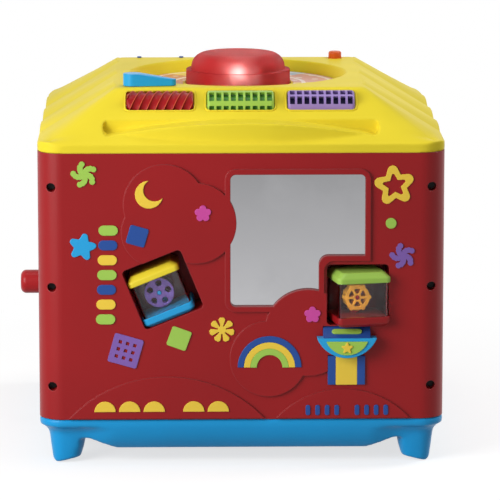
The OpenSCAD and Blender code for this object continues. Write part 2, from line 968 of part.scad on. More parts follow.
// The cover fills the underside between the feet
module bottom_cover() {
    half_w = body_w / 2 - cover_reach;
    half_d = body_d / 2 - cover_reach;
    clear_w = foot_c + foot_lean - foot_root_w / 2 - loose;
    clear_d = foot_cy + foot_lean - foot_root_w / 2 - loose;
    color(base_blue) difference() {
        translate([0, 0, cover_z]) union() {
            translate([-half_w, -clear_d, 0]) cube([2 * half_w, 2 * clear_d, cover_t]);
            translate([-clear_w, -half_d, 0]) cube([2 * clear_w, 2 * half_d, cover_t]);
        }
        translate([0, 0, cover_z - over]) linear_extrude(cover_t + 2 * over) door_outline(0);
        cover_posts() {
            translate([0, 0, cover_z - over]) cylinder(r = screw_r + run, h = cover_t + 2 * over);
            translate([0, 0, cover_z - over]) cylinder(r = screw_head_r + run, h = over + screw_head_t);
        }
    }
}

module door_outline(g) {
    rounded_rect(tray_w + 2 * door_lap - 2 * g, tray_l + 2 * door_lap - 2 * g, 4);
    translate([0, tray_l / 2 + door_lap]) rounded_rect(door_tab_w * 2 - 2 * g, door_tab_w * 2 - 2 * g, 4);
}

module battery_door() {
    color(base_blue) difference() {
        translate([0, 0, cover_z]) linear_extrude(cover_t) door_outline(run);
        translate([0, door_screw_y, cover_z - over]) {
            cylinder(r = screw_r + run, h = cover_t + 2 * over);
            cylinder(r = screw_head_r + run, h = over + screw_head_t);
        }
    }
}

module battery_tray() {
    z0 = cover_z + cover_t;
    color(dark_grey) difference() {
        union() {
            translate([0, 0, z0]) rounded_box(tray_w + 2 * tray_t, tray_l + 2 * tray_t, tray_h + tray_t, 3);
            translate([0, door_screw_y, z0]) cylinder(r = boss_r, h = pilot_d);
            for (s = [-1, 1]) translate([s * (tray_w / 2 + tray_t + 4), 0, z0]) {
                rounded_box(10, tray_l / 2, tray_t, 2);
            }
        }
        translate([0, 0, z0 - over]) rounded_box(tray_w, tray_l, tray_h + over, 2);
        translate([0, door_screw_y, z0 - over]) cylinder(r = screw_r + fit, h = pilot_d);
    }
}

module batteries() {
    color([0.25, 0.25, 0.27]) for (i = [0:cell_count - 1]) {
        translate([(i - (cell_count - 1) / 2) * cell_pitch, 0, cover_z + cover_t + cell_r + run]) {
            rod_y(cell_r, -cell_l / 2, cell_l / 2 - 1);
            rod_y(cell_r * 0.4, -cell_l / 2, cell_l / 2 + 1);
        }
    }
}

module door_screw() {
    color(steel) translate([0, door_screw_y, cover_z + screw_head_t]) screw();
}

module base_screws() {
    color(steel) {
        cover_posts() translate([0, 0, cover_z + screw_head_t]) screw();
        wall_lugs() translate([0, 0, deck_z]) screw();
    }
}

// Roof

// Hipped outline over a width of 2 * half, moved in by t; drawn in X and Z
function hip_outline(half, t) =
    let (
        drop = t * sqrt(1 + pitch * pitch),
        low = t > 0 ? eave_z - over : eave_z,
        shoulder = slope_z + pitch * t - drop,
        top_x = half - (roof_rise - t + drop) / pitch
    )
    [
        [-half + t, low], [half - t, low], [half - t, shoulder],
        [top_x, top_z - t], [-top_x, top_z - t], [-half + t, shoulder]
    ];

module hip(t) {
    intersection() {
        translate([0, 0, eave_z - over]) rounded_box(body_w - 2 * t, body_d - 2 * t, top_z, corner_r - t);
        rotate([90, 0, 0]) linear_extrude(body_d, center = true) polygon(hip_outline(body_w / 2, t));
        rotate([90, 0, 90]) linear_extrude(body_w, center = true) polygon(hip_outline(body_d / 2, t));
    }
}

scoop_w = body_w - 2 * scoop_in;
arch_w = scoop_w - 2 * arch_in;
arch_top = slope_z + pitch * scoop_d;
arch_r = (arch_w * arch_w / 4 + arch_rise * arch_rise) / (2 * arch_rise);
lip_lean = 4;
lip_r = 780;

module arch_outline(t) {
    low = t > 0 ? eave_z - over : eave_z;
    intersection() {
        translate([0, arch_top - arch_r]) circle(arch_r - t, $fn = 200);
        translate([-arch_w / 2 + t, low]) square([arch_w - 2 * t, arch_top - low]);
    }
}

// The lip below the finger scoop: it bows forwards, and ends where its arch meets the slope
module lip(t) {
    intersection() {
        translate([0, -body_d / 2 + scoop_d, 0]) rotate([90, 0, 0]) linear_extrude(scoop_d + over)
            arch_outline(t);
        translate([0, lip_r + lip_lean - body_d / 2, 0]) cylinder(r = lip_r - t, h = top_z, $fn = 400);
    }
}

module scoop_outline(t) {
    translate([0, arch_top + over / 2 - scoop_h / 2]) bar(scoop_w + 2 * t, scoop_h + 2 * t);
}

module scoop_cut() {
    translate([0, -body_d / 2 + scoop_d, 0]) rotate([90, 0, 0]) linear_extrude(scoop_d + over)
        difference() {
        scoop_outline(0);
        translate([0, arch_top - arch_r]) circle(arch_r, $fn = 200);
    }
}

// Solid left round the scoop when the roof is hollowed
module scoop_liner() {
    translate([0, -body_d / 2 + scoop_d + roof_t, 0]) rotate([90, 0, 0]) {
        linear_extrude(scoop_d + roof_t) scoop_outline(roof_t);
    }
}

// Ribs down one side slope, made for the right-hand side
module side_ribs() {
    rib_r = (rib_w * rib_w / 4 + rib_t * rib_t) / (2 * rib_t);
    rib_deg = atan2(rib_t - rib_top_t, slope_len);
    first = -(rib_count - 1) / 2 * rib_pitch + rib_pitch / 6;
    intersection() {
        translate([top_w / 2, 0, top_z]) rotate([0, slope_deg, 0]) {
            intersection() {
                for (i = [0:rib_count - 1]) {
                    translate([0, first + i * rib_pitch, rib_top_t - rib_r]) rotate([0, -rib_deg, 0])
                        translate([slope_len / 2, 0, 0]) rod_x(rib_r, 2 * slope_len, $fn = 144);
                }
                translate([-slope_len, -body_d / 2, -roof_t / 2]) cube([3 * slope_len, body_d, 2 * rib_t]);
            }
        }
        translate([0, -body_d / 2, eave_z]) cube([body_w / 2, body_d, top_z - eave_z]);
        rotate([90, 0, 90]) linear_extrude(body_w, center = true) polygon(hip_outline(body_d / 2, 0));
    }
}

// Front slope: X along the eave, -Y downhill, Z out of the slope
module on_front_slope() {
    translate([0, -top_d / 2, top_z]) rotate([slope_deg, 0, 0]) children();
}

module at_rollers() {
    on_front_slope() for (i = [-1:1]) translate([i * roller_pitch, -roller_down, -roller_sink]) children();
}

module roller_place(i) {
    on_front_slope() translate([i * roller_pitch, -roller_down, -roller_sink]) children();
}

module roller_lugs() {
    lug_r = axle_r + 3;
    at_rollers() for (s = [-1, 1]) translate([s * (slot_w + lug_wall) / 2, 0, 0]) {
        rod_x(lug_r, lug_wall);
        translate([-lug_wall / 2, -lug_r, 0]) cube([lug_wall, 2 * lug_r, roller_sink - roof_t / 2]);
    }
}

module basin() {
    translate([0, 0, basin_z]) rotate_extrude($fn = 96) polygon([
        [dome_r + dome_gap, -roof_t], [basin_floor_r + roof_t, -roof_t], [basin_r + roof_t, basin_depth],
        [basin_r, basin_depth], [basin_floor_r, 0], [collar_r, 0],
        [collar_r, collar_top - basin_z], [dome_r + dome_gap, collar_top - basin_z]
    ]);
}

module basin_hollow() {
    translate([0, 0, basin_z]) rotate_extrude($fn = 96) polygon([
        [0, -2 * roof_t], [basin_floor_r, -2 * roof_t], [basin_floor_r, 0],
        [basin_r, basin_depth], [basin_r, basin_depth + over], [0, basin_depth + over]
    ]);
}

module at_button() {
    translate([button_x, button_y, top_z]) children();
}

module roof() {
    guide_r = button_flange_r + loose;
    color(roof_yellow) difference() {
        union() {
            difference() {
                union() {
                    hip(0);
                    lip(0);
                }
                difference() {
                    hip(roof_t);
                    scoop_liner();
                }
                lip(roof_t);
                basin_hollow();
            }
            side_ribs();
            mirror([1, 0, 0]) side_ribs();
            basin();
            roller_lugs();
            intersection() {
                hip(0);
                at_button() translate([0, 0, -roof_t - guide_h])
                    tube(guide_r + guide_t, guide_r, guide_h + roof_t / 2);
            }
            intersection() {
                hip(0);
                wall_lugs() translate([0, 0, eave_z]) cylinder(r = boss_r, h = roof_rise);
            }
        }
        scoop_cut();
        at_rollers() translate([0, 0, roller_sink - 3 * roof_t]) {
            linear_extrude(6 * roof_t) rounded_rect(slot_w, 2 * slot_half, slot_r);
        }
        at_rollers() rod_x(axle_r + fit, slot_w + 2 * lug_wall + 2 * loose);
        at_button() translate([0, 0, -2 * roof_t]) cylinder(r = button_r + run, h = 4 * roof_t);
        translate([paddle_x, paddle_y, top_z - 2 * roof_t])
            cylinder(r = paddle_pin_r + 2 * fit, h = 4 * roof_t);
        wall_lugs() translate([0, 0, eave_z - over]) cylinder(r = screw_r + fit, h = screw_len);
    }
}

module roof_screws() {
    color(steel) wall_lugs() translate([0, 0, eave_z - lug_t]) screw();
}

// Mirror

module mirror_glass() {
    color(steel) on_front() translate([0, 0, -panel_t - mirror_t]) linear_extrude(mirror_t)
        window(mirror_lap);
}

module mirror_tabs() {
    for (p = mirror_screw_points) {
        translate([p.x, p.y]) circle(mirror_lug_r);
        reach = p.x < window_x ? window_x - p.x + mirror_lug_r : window_x + window_w - p.x - mirror_lug_r;
        translate([p.x + min(reach, 0), p.y - mirror_lug_r]) square([abs(reach), 2 * mirror_lug_r]);
    }
}

module mirror_backing() {
    color(dark_grey) on_front() translate([0, 0, -panel_t - mirror_t - backing_t])
        linear_extrude(backing_t) difference() {
        union() {
            window(mirror_lap);
            mirror_tabs();
        }
        for (p = mirror_screw_points) translate([p.x, p.y]) circle(screw_r + run);
    }
}

module mirror_screws() {
    color(steel) on_front() for (p = mirror_screw_points) {
        translate([p.x, p.y, -panel_t - mirror_t - backing_t]) screw(backing_t + mirror_t + panel_t / 2);
    }
}

// Pockets

module left_pocket() {
    color(light_blue) on_front() difference() {
        union() {
            translate([0, 0, -panel_t - pocket_flange_t]) linear_extrude(pocket_flange_t)
                left_opening(pocket_flange);
            translate([0, 0, -pocket_d - pocket_t]) linear_extrude(pocket_d + pocket_t - panel_t)
                left_opening(pocket_t);
        }
        translate([0, 0, -pocket_d]) linear_extrude(pocket_d) left_opening(0);
    }
}

module right_pocket() {
    color(light_blue) on_front() difference() {
        union() {
            translate([0, 0, -panel_t - pocket_flange_t]) linear_extrude(pocket_flange_t)
                right_opening(pocket_flange);
            translate([0, 0, -pocket_d - pocket_t]) linear_extrude(pocket_d + pocket_t - panel_t)
                right_opening(pocket_t);
        }
        translate([0, 0, -pocket_d]) linear_extrude(pocket_d) right_opening(0);
    }
}

// Blocks, drawn round their own middle

module left_block() {
    translate([left_block_x, left_block_y, base_h + left_block_h]) rotate([0, -left_tilt, 0]) children();
}

module right_block() {
    translate([right_block_x, right_block_y, base_h + right_block_h]) rotate([0, 0, right_turn]) children();
}

spin_x = -2;
spin_z = -1;
stand_t = 3;
stand_w = 8;

module block_base() {
    translate([0, 0, -block_w / 2]) hull() {
        rounded_box(block_w - 2 * block_foot, block_w - 2 * block_foot, fit, block_r, $fn = 32);
        translate([0, 0, block_foot])
            rounded_box(block_w, block_w, block_base_h - block_foot, block_r, $fn = 32);
    }
    translate([spin_x - stand_w / 2, spin_t / 2 + over, case_z0 - over])
        cube([stand_w, stand_t, spin_z - case_z0 + over]);
    translate([spin_x, 0, spin_z]) {
        rod_y(stand_w / 2, spin_t / 2 + over, spin_t / 2 + over + stand_t);
        rod_y(spin_pin_r, -spin_t / 2 - over, spin_t / 2 + over + stand_t / 2);
    }
}

module block_case() {
    translate([0, 0, case_z0]) difference() {
        rounded_box(case_w, case_w, case_z1 - case_z0, block_r - over);
        translate([0, 0, -over]) {
            rounded_box(case_w - 2 * case_t, case_w - 2 * case_t, case_z1 - case_z0 + 2 * over,
                block_r - over - case_t);
        }
    }
}

module block_cap() {
    translate([0, 0, case_z1]) hull() {
        rounded_box(block_w, block_w, block_cap_h - cap_bevel, block_r, $fn = 32);
        rounded_box(block_w - 2 * cap_bevel, block_w - 2 * cap_bevel, block_cap_h, block_r, $fn = 32);
    }
}

module block_a_base() {
    color(base_blue) left_block() block_base();
}

module block_a_case() {
    color(pale) left_block() block_case();
}

module block_a_cap() {
    color(roof_yellow) left_block() block_cap();
}

module block_a_spinner() {
    color(violet) left_block() translate([spin_x, 0, spin_z]) difference() {
        rod_y(spinner_r, -spin_t / 2, spin_t / 2);
        rod_y(spin_pin_r + bush_fit, -spin_t, spin_t);
        for (i = [0:4]) rotate([0, 72 * i, 0]) translate([spinner_r * 0.64, 0, 0])
            rod_y(spinner_r * 0.2, -spin_t, spin_t);
    }
}

module block_b_base() {
    color(body_red) right_block() block_base();
}

module block_b_case() {
    color(pale) right_block() block_case();
}

module block_b_cap() {
    color(leaf_green) right_block() block_cap();
}

module block_b_ring() {
    color(amber) right_block() translate([spin_x, 0, spin_z]) rotate([90, 0, 0]) {
        linear_extrude(spin_t, center = true) difference() {
            union() {
                difference() {
                    circle(ring_r);
                    circle(ring_r * 0.7);
                }
                for (i = [0:5]) rotate(60 * i) translate([ring_r - 0.5, 0]) circle(2);
                for (i = [0:2]) rotate(60 * i) square([2 * ring_r - 2, 2.4], center = true);
                circle(spin_pin_r + 2);
            }
            circle(spin_pin_r + bush_fit);
        }
    }
}

// Shelf and coloured figures

module block_shelf() {
    color(light_blue) on_front() translate([shelf_x, shelf_top_h]) {
        linear_extrude(shelf_d) shelf_outline(shelf_w, shelf_h, shelf_r);
    }
}

ramp_deg = atan2(ramp_h, shelf_d);
ramp_bar_w = 28;
ramp_bar_h = 6;

module ramp() {
    translate([shelf_x - ramp_w / 2, -body_d / 2, base_h + shelf_top_h]) rotate([90, 0, 90])
        linear_extrude(ramp_w) {
        polygon([[0, 0], [0, ramp_h], [-shelf_d, 0]]);
    }
}

module ramp_bar() {
    translate([shelf_x, -body_d / 2 - shelf_d / 2, base_h + shelf_top_h + ramp_h / 2])
        rotate([ramp_deg, 0, 0]) {
        linear_extrude(trim_t) bar(ramp_bar_w, ramp_bar_h);
    }
}

module column_strip(x, w) {
    on_front() translate([x, shelf_top_h - shelf_h - column_h, 0]) cube([w, column_h, relief_t]);
}

module shapes_green() {
    color(leaf_green) {
        on_front() {
            figure_at(-146, 232.5) pinwheel(25.5, 5);
            figure_at(-58.5, 77.5, -20) rounded_rect(19, 19, 2);
            figure_at(139, 186) circle(5);
            rungs(0);
            rainbow(2);
        }
        ramp_bar();
        shelf_front(0) translate([0, -inset_drop]) {
            shelf_outline(shelf_inset_w, shelf_h - 2 * inset_drop, shelf_r * 0.7);
        }
        on_right() {
            figure_at(-80, 190) pinwheel(44, 5);
            figure_at(70, 80) circle(14);
        }
        on_left() figure_at(80, 186) pinwheel(44, 5);
        on_back() figure_at(-110, 200) circle(15);
    }
}

module shapes_yellow() {
    color(roof_yellow) {
        on_front() {
            figure_at(-18.5, 85.5) petal_flower(23.5);
            figure_at(142, 221.5, 7) star_outline(38);
            raised_figure_at(-86, 214, 20) moon(26);
            for (x = [-128, -105, -82, -45, -22]) raised_figure_at(x, 8) pebble(10);
            rungs(1);
            rainbow(1);
        }
        column_strip(shelf_x - column_w / 2 + column_side_w, column_w - 2 * column_side_w);
        shelf_front(1) translate([0, -inset_drop - 6]) star(11, 0.27, 0.9);
        on_right() figure_at(60, 180) star(64, 0.3, 6);
        on_left() figure_at(-70, 180) star(64, 0.3, 6);
        on_back() figure_at(110, 190) star(48, 0.3, 5);
    }
}

module shapes_blue() {
    color(dark_blue) {
        on_front() {
            raised_figure_at(-97, 175, -16) rounded_rect(18, 18, 2);
            for (i = [0:3], x = [62, 108]) raised_figure_at(x + 9 * i, 9) rounded_rect(4.5, 10, 2);
            rungs(2);
            rainbow(0);
        }
        ramp();
        for (x = [shelf_x - column_w / 2, shelf_x + column_w / 2 - column_side_w])
            column_strip(x, column_side_w);
        for (x = rim_plugs_x) translate([x, rim_plugs_y, top_z]) cylinder(r = rim_plug_r, h = rim_plug_h);
        on_right() figure_at(-70, 70, 18) rounded_rect(40, 40, 5);
        on_left() figure_at(-80, 76, 18) rounded_rect(40, 40, 5);
    }
}

module shapes_light_blue() {
    color(light_blue) {
        on_front() figure_at(-148, 164.5, -12) star(26, 0.3, 3);
        on_left() translate([0, knob_h]) linear_extrude(trim_t) difference() {
            circle(knob_r + 10);
            circle(knob_r + 3);
        }
        on_right() figure_at(0, 120) difference() {
            circle(30);
            circle(20);
        }
    }
}

module shapes_purple() {
    color(violet) {
        on_front() {
            figure_at(dot_square_x, dot_square_h, dot_square_turn)
                difference() {
                    rounded_rect(dot_square_w, dot_square_w, 2);
                    for (i = [-1:1], j = [-1:1])
                        translate([i * dot_pitch, j * dot_pitch]) square(dot_w, center = true);
                }
            figure_at(150, 155) pinwheel(25, 5);
        }
        on_left() figure_at(75, 70) pinwheel(40, 5);
        on_back() figure_at(-110, 120) pinwheel(36, 5);
    }
}

module shapes_pink() {
    color(pink) {
        on_front() {
            raised_figure_at(-36, 196) round_flower(16);
            raised_figure_at(66, 100) round_flower(16);
        }
        on_right() figure_at(0, 50) round_flower(36);
        on_back() figure_at(110, 110) round_flower(32);
    }
}

// Rollers

module roller_axles() {
    color(steel) at_rollers() rod_x(axle_r, slot_w + 2 * lug_wall - run);
}

// A drum along X with round edges
module drum(r, l, e) {
    rotate([0, 90, 0]) rotate_extrude() intersection() {
        union() {
            translate([0, e - l / 2]) square([r, l - 2 * e]);
            translate([0, -l / 2]) square([r - e, l]);
            for (sy = [-1, 1]) translate([r - e, sy * (l / 2 - e)]) circle(e);
        }
        translate([0, -l / 2]) square([r, l]);
    }
}

module red_roller() {
    core_r = roller_r - ridge_t;
    ridge_len = roller_len - 2 * roller_edge;
    turn = 360 * ridge_len / ridge_lead;
    color(body_red) roller_place(-1) difference() {
        union() {
            rotate([0, 90, 0]) linear_extrude(ridge_len, center = true, twist = turn, slices = 45) {
                circle(core_r, $fn = 20);
                for (i = [0:ridge_count - 1]) rotate(360 / ridge_count * i) {
                    translate([core_r - over, -ridge_w / 2]) square([ridge_t + over - 0.08, ridge_w]);
                }
            }
            for (sx = [-1, 1]) translate([sx * (ridge_len + roller_edge - over) / 2, 0, 0]) {
                rod_x(core_r - over, roller_edge + over);
            }
        }
        rod_x(axle_r + bush_fit, roller_len + over);
    }
}

// A drum with rows of square windows round it
module cage(rows, span) {
    spacing = roller_len / (cage_columns + 0.25);
    hole_w = spacing * window_share;
    hole_h = roller_r * 2 * sin(span / 2);
    difference() {
        drum(roller_r, roller_len, roller_edge);
        rod_x(roller_r - roller_wall, roller_len + over);
        for (i = [0:cage_columns - 1], turn = rows) {
            translate([(i - (cage_columns - 1) / 2) * spacing, 0, 0]) rotate([turn, 0, 0]) {
                translate([0, 0, roller_r]) cube([hole_w, hole_h, roller_r], center = true);
            }
        }
    }
}

module core() {
    difference() {
        rod_x(roller_r - roller_wall - run, roller_len);
        rod_x(axle_r + bush_fit, roller_len + over);
    }
}

module green_roller() {
    color(leaf_green) roller_place(0) cage(green_rows, green_span);
}

module green_core() {
    color(dark_green) roller_place(0) core();
}

module purple_roller() {
    color(violet) roller_place(1) cage(purple_rows, purple_span);
}

module purple_core() {
    color(navy) roller_place(1) core();
}

// Turntable, dome and lamp

module picture_disc() {
    color([0.75, 0.8, 0.85]) translate([0, 0, basin_z + disc_gap]) rotate_extrude($fn = 96) {
        translate([collar_r + disc_gap, 0]) square([disc_r - collar_r - disc_gap, disc_t]);
    }
}

// Half section of the dome, moved in by t
module dome_profile(t) {
    low = t > 0 ? dome_foot_z - over : dome_foot_z;
    neck = shoulder_z - dome_t - over;
    intersection() {
        union() {
            translate([0, low]) square([dome_r - t, shoulder_z - t - low]);
            translate([0, neck]) square([dome_top_r - t, dome_top_z - dome_edge_r - neck]);
            translate([0, neck]) square([dome_top_r - dome_edge_r, dome_top_z - t - neck]);
            translate([dome_top_r - dome_edge_r, dome_top_z - dome_edge_r]) circle(dome_edge_r - t);
        }
        translate([0, low]) square([dome_r, dome_top_z - low]);
    }
}

module dome_cover() {
    color(body_red) rotate_extrude($fn = 96) difference() {
        union() {
            dome_profile(0);
            translate([0, dome_foot_z]) square([dome_flange_r, dome_flange_t]);
        }
        dome_profile(dome_t);
    }
}

module dome_carrier() {
    color(pale) translate([0, 0, dome_foot_z]) tube(dome_r - dome_t - fit, post_r + over, carrier_t);
}

module dome_spring() {
    floor_z = cup_z + cup_t;
    color(steel) translate([0, 0, floor_z]) coil(dome_spring_r, spring_wire_r, dome_foot_z - floor_z, 6);
}

module lamp_cup() {
    color(pale) {
        translate([0, 0, cup_z]) {
            cylinder(r = cup_r + cup_t, h = cup_t);
            tube(cup_r + cup_t, cup_r, cup_h);
            cylinder(r = post_r, h = post_top - cup_z);
        }
        translate([0, 0, basin_under_z - cup_t]) tube(cup_flange_r, cup_r, cup_t);
    }
}

module lamp_board() {
    z0 = cup_z + cup_t;
    color(board_green) translate([0, 0, z0]) {
        tube(dome_spring_r + 30, dome_spring_r + 4, board_t);
        translate([dome_spring_r + 18, 0, 0])
            cylinder(r = switch_r, h = dome_foot_z - dome_travel - 2 * run - z0);
    }
}

module lamp_led() {
    color(pale) translate([0, 0, post_top]) {
        cylinder(r = led_r, h = led_h - led_r);
        translate([0, 0, led_h - led_r]) intersection() {
            sphere(led_r);
            cylinder(r = led_r, h = led_r);
        }
    }
}

// Paddle and push button

module at_paddle() {
    translate([paddle_x, paddle_y, top_z]) children();
}

paddle_roof = 4;
pin_head_r = paddle_pin_r + 3;
pin_head_t = 2.4;

module paddle() {
    color(light_blue) at_paddle() translate([0, 0, loose]) difference() {
        hull() {
            cylinder(r = paddle_r, h = paddle_h, $fn = 32);
            translate([paddle_len, 0, 0]) cylinder(r = paddle_tip_r, h = paddle_tip_h, $fn = 32);
        }
        translate([0, 0, -over]) cylinder(r = paddle_pin_r + fit, h = paddle_h - paddle_roof + over);
    }
}

module paddle_pin() {
    low = -roof_t - run - pin_head_t;
    color(steel) at_paddle() translate([0, 0, low]) {
        cylinder(r = pin_head_r, h = pin_head_t);
        cylinder(r = paddle_pin_r, h = loose + paddle_h - paddle_roof - fit - low);
    }
}

button_flange_t = 3;
button_edge = 2.5;

module orange_button() {
    low = -roof_t - run;
    color(amber) at_button() {
        translate([0, 0, low - button_flange_t]) cylinder(r = button_flange_r, h = button_flange_t);
        translate([0, 0, low]) cylinder(r = button_r, h = button_h - button_edge - low);
        translate([0, 0, button_h - button_edge]) rotate_extrude() intersection() {
            union() {
                square([button_r - button_edge, button_edge]);
                translate([button_r - button_edge, 0]) circle(button_edge);
            }
            square([button_r, button_edge]);
        }
    }
}

module button_plug() {
    color(dark_grey) at_button() translate([0, 0, -roof_t - guide_h - plug_t]) {
        cylinder(r = button_flange_r + loose + guide_t, h = plug_t);
        cylinder(r = button_flange_r + loose - fit, h = plug_t + plug_spigot);
    }
}

module button_spring() {
    low = -roof_t - guide_h + plug_spigot;
    high = -roof_t - run - button_flange_t;
    color(steel) at_button() translate([0, 0, low]) coil(button_spring_r, spring_wire_r, high - low, 4);
}

// Side knob

module at_knob() {
    translate([-body_w / 2, 0, base_h + knob_h]) rotate([0, -90, 0]) children();
}

module side_knob() {
    shaft = panel_t + loose + wheel_t;
    color(body_red) at_knob() {
        translate([0, 0, bezel_gap]) rotate_extrude() intersection() {
            union() {
                square([knob_r, knob_len - knob_edge]);
                square([knob_r - knob_edge, knob_len]);
                translate([knob_r - knob_edge, knob_len - knob_edge]) circle(knob_edge);
            }
            square([knob_r, knob_len]);
        }
        translate([0, 0, -shaft]) cylinder(r = knob_shaft_r, h = shaft + 2 * over);
    }
}

module click_wheel() {
    color(pale) at_knob() translate([0, 0, -panel_t - loose - wheel_t]) difference() {
        cylinder(r = wheel_r, h = wheel_t);
        translate([0, 0, -over]) cylinder(r = knob_shaft_r + fit, h = wheel_t + 2 * over);
        for (i = [0:wheel_notches - 1]) rotate(360 / wheel_notches * i) translate([wheel_r + 1, 0, -over]) {
            cylinder(r = 2.4, h = wheel_t + 2 * over);
        }
    }
}

module click_leaf() {
    color(steel) translate([-body_w / 2 + panel_t + loose, wheel_r + loose, base_h + knob_h - leaf_l / 2]) {
        cube([leaf_w, leaf_t, leaf_l]);
    }
}

// Sound and power

module speaker() {
    color(dark_grey) on_back() translate([0, speaker_h, -panel_t]) rotate_extrude() polygon([
        [speaker_r - 3, 0], [speaker_r, 0], [speaker_r, -3], [16, -14], [16, -speaker_d], [0, -speaker_d],
        [0, -14], [13, -14], [speaker_r - 3, -3]
    ]);
}

module speaker_cone() {
    edge = speaker_r - 3 - fit;
    color(pale) on_back() translate([0, speaker_h, -panel_t]) rotate_extrude() polygon([
        [0, -9.5], [8, -9.5], [edge, -2], [edge, -1], [8, -8.5], [0, -8.5]
    ]);
}

module main_board() {
    z0 = -panel_t - standoff_l;
    color(board_green) on_back() {
        translate([board_x, board_h, z0 - board_t]) linear_extrude(board_t)
            rounded_rect(board_w, board_l, 2);
        translate([switch_x - 15, switch_h - 7, z0]) cube([38, 14, switch_body_t]);
        translate([board_x - 30, board_h - 10, z0 - board_t - 3]) cube([20, 20, 3]);
        translate([board_x + 4, board_h + 8, z0 - board_t - 5]) cube([12, 10, 5]);
    }
}

module power_slider() {
    color(dark_grey) on_back() translate([switch_x, switch_h, -panel_t - run]) {
        translate([-slider_w / 2, -slider_h / 2, 0]) cube([slider_w, slider_h, panel_t + run + slider_out]);
        translate([-slider_w, -slider_h, -slider_plate_t])
            cube([2 * slider_w, 2 * slider_h, slider_plate_t]);
    }
}

base_tray();
bottom_cover();
battery_tray();
batteries();
battery_door();
door_screw();
base_screws();
front_panel();
back_panel();
left_panel();
right_panel();
panel_screws();
roof();
roof_screws();
mirror_glass();
mirror_backing();
mirror_screws();
left_pocket();
right_pocket();
block_shelf();
shapes_green();
shapes_yellow();
shapes_blue();
shapes_light_blue();
shapes_purple();
shapes_pink();
block_a_base();
block_a_case();
block_a_cap();
block_a_spinner();
block_b_base();
block_b_case();
block_b_cap();
block_b_ring();
roller_axles();
red_roller();
green_roller();
green_core();
purple_roller();
purple_core();
picture_disc();
dome_cover();
dome_carrier();
dome_spring();
lamp_cup();
lamp_board();
lamp_led();
paddle();
paddle_pin();
orange_button();
button_plug();
button_spring();
side_knob();
click_wheel();
click_leaf();
speaker();
speaker_cone();
main_board();
power_slider();
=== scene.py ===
"""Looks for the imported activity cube: softened edges, moulded finishes, light and camera."""

import json
import math

import bmesh
import bpy
import numpy as np
from bpy.props import FloatProperty, FloatVectorProperty, PointerProperty
from mathutils import Matrix, Vector


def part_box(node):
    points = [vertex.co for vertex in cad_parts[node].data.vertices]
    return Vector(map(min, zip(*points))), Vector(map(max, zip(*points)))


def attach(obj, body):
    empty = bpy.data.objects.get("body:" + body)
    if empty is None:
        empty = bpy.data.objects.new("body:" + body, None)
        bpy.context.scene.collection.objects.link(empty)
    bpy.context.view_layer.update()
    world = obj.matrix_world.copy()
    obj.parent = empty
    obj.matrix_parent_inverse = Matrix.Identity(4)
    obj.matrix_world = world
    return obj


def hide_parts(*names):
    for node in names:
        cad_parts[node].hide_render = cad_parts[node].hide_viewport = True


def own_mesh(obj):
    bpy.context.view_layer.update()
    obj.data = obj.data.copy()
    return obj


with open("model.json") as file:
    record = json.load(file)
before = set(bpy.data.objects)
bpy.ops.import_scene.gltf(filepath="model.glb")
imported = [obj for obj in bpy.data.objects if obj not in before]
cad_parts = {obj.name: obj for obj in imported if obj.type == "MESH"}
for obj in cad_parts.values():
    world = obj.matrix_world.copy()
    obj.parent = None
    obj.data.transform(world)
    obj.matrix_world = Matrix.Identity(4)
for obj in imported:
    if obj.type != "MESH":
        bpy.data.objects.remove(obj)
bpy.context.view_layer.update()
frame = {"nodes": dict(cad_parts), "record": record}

bl_info = {
    "name": "Activity cube",
    "version": (1, 0, 0),
    "blender": (4, 5, 0),
    "location": "View3D > Sidebar > Cube",
    "description": "Dresses a packed activity cube in moulded plastic and sets its studio",
    "category": "Object",
}

MM = 0.001


def colour_prop(label, what, rgb):
    """A colour that a user may change."""
    return FloatVectorProperty(name=label, description=what, default=rgb, subtype="COLOR",
                               size=3, min=0, max=1)


def length_prop(label, what, metres):
    """A length that a user may change."""
    return FloatProperty(name=label, description=what, default=metres, unit="LENGTH",
                         min=0, precision=5)


def angle_prop(label, what, degrees):
    """An angle that a user may change."""
    return FloatProperty(name=label, description=what, default=math.radians(degrees), unit="ROTATION")


def level_prop(label, what, level, lowest=0.0):
    """A plain number that a user may change."""
    return FloatProperty(name=label, description=what, default=level, min=lowest)


class CubeColours(bpy.types.PropertyGroup):
    """Colours of the mouldings, in linear light."""

    red: colour_prop("Red", "Walls, knob and red roller", (0.300, 0.008, 0.010))
    yellow: colour_prop("Yellow", "Roof and left block's cap", (0.810, 0.650, 0.036))
    warm_yellow: colour_prop("Warm yellow", "Yellow figures", (0.850, 0.590, 0.060))
    blue: colour_prop("Blue", "Base and left block", (0.009, 0.312, 0.680))
    light_blue: colour_prop("Light blue", "Shelf, paddle and star", (0.022, 0.350, 0.700))
    dark_blue: colour_prop("Dark blue", "Dark-blue figures", (0.020, 0.075, 0.310))
    green: colour_prop("Green", "Green figures and roller", (0.350, 0.580, 0.090))
    dark_green: colour_prop("Dark green", "Core of the green roller", (0.100, 0.330, 0.050))
    purple: colour_prop("Purple", "Purple figures", (0.210, 0.110, 0.400))
    lilac: colour_prop("Lilac", "Purple roller", (0.330, 0.225, 0.540))
    navy: colour_prop("Navy", "Core of the purple roller", (0.012, 0.008, 0.050))
    pink: colour_prop("Pink", "Pink figures", (0.590, 0.070, 0.330))
    orange: colour_prop("Orange", "Push button", (0.720, 0.110, 0.015))
    amber: colour_prop("Amber", "Ring in the right block", (0.850, 0.350, 0.020))
    dome: colour_prop("Dome", "Deep red of the light dome", (0.400, 0.010, 0.014))
    haze: colour_prop("Haze", "Colour of the lamp's light through the dome", (1.0, 0.50, 0.48))
    mirror: colour_prop("Mirror", "Silvering of the mirror", (0.500, 0.500, 0.515))


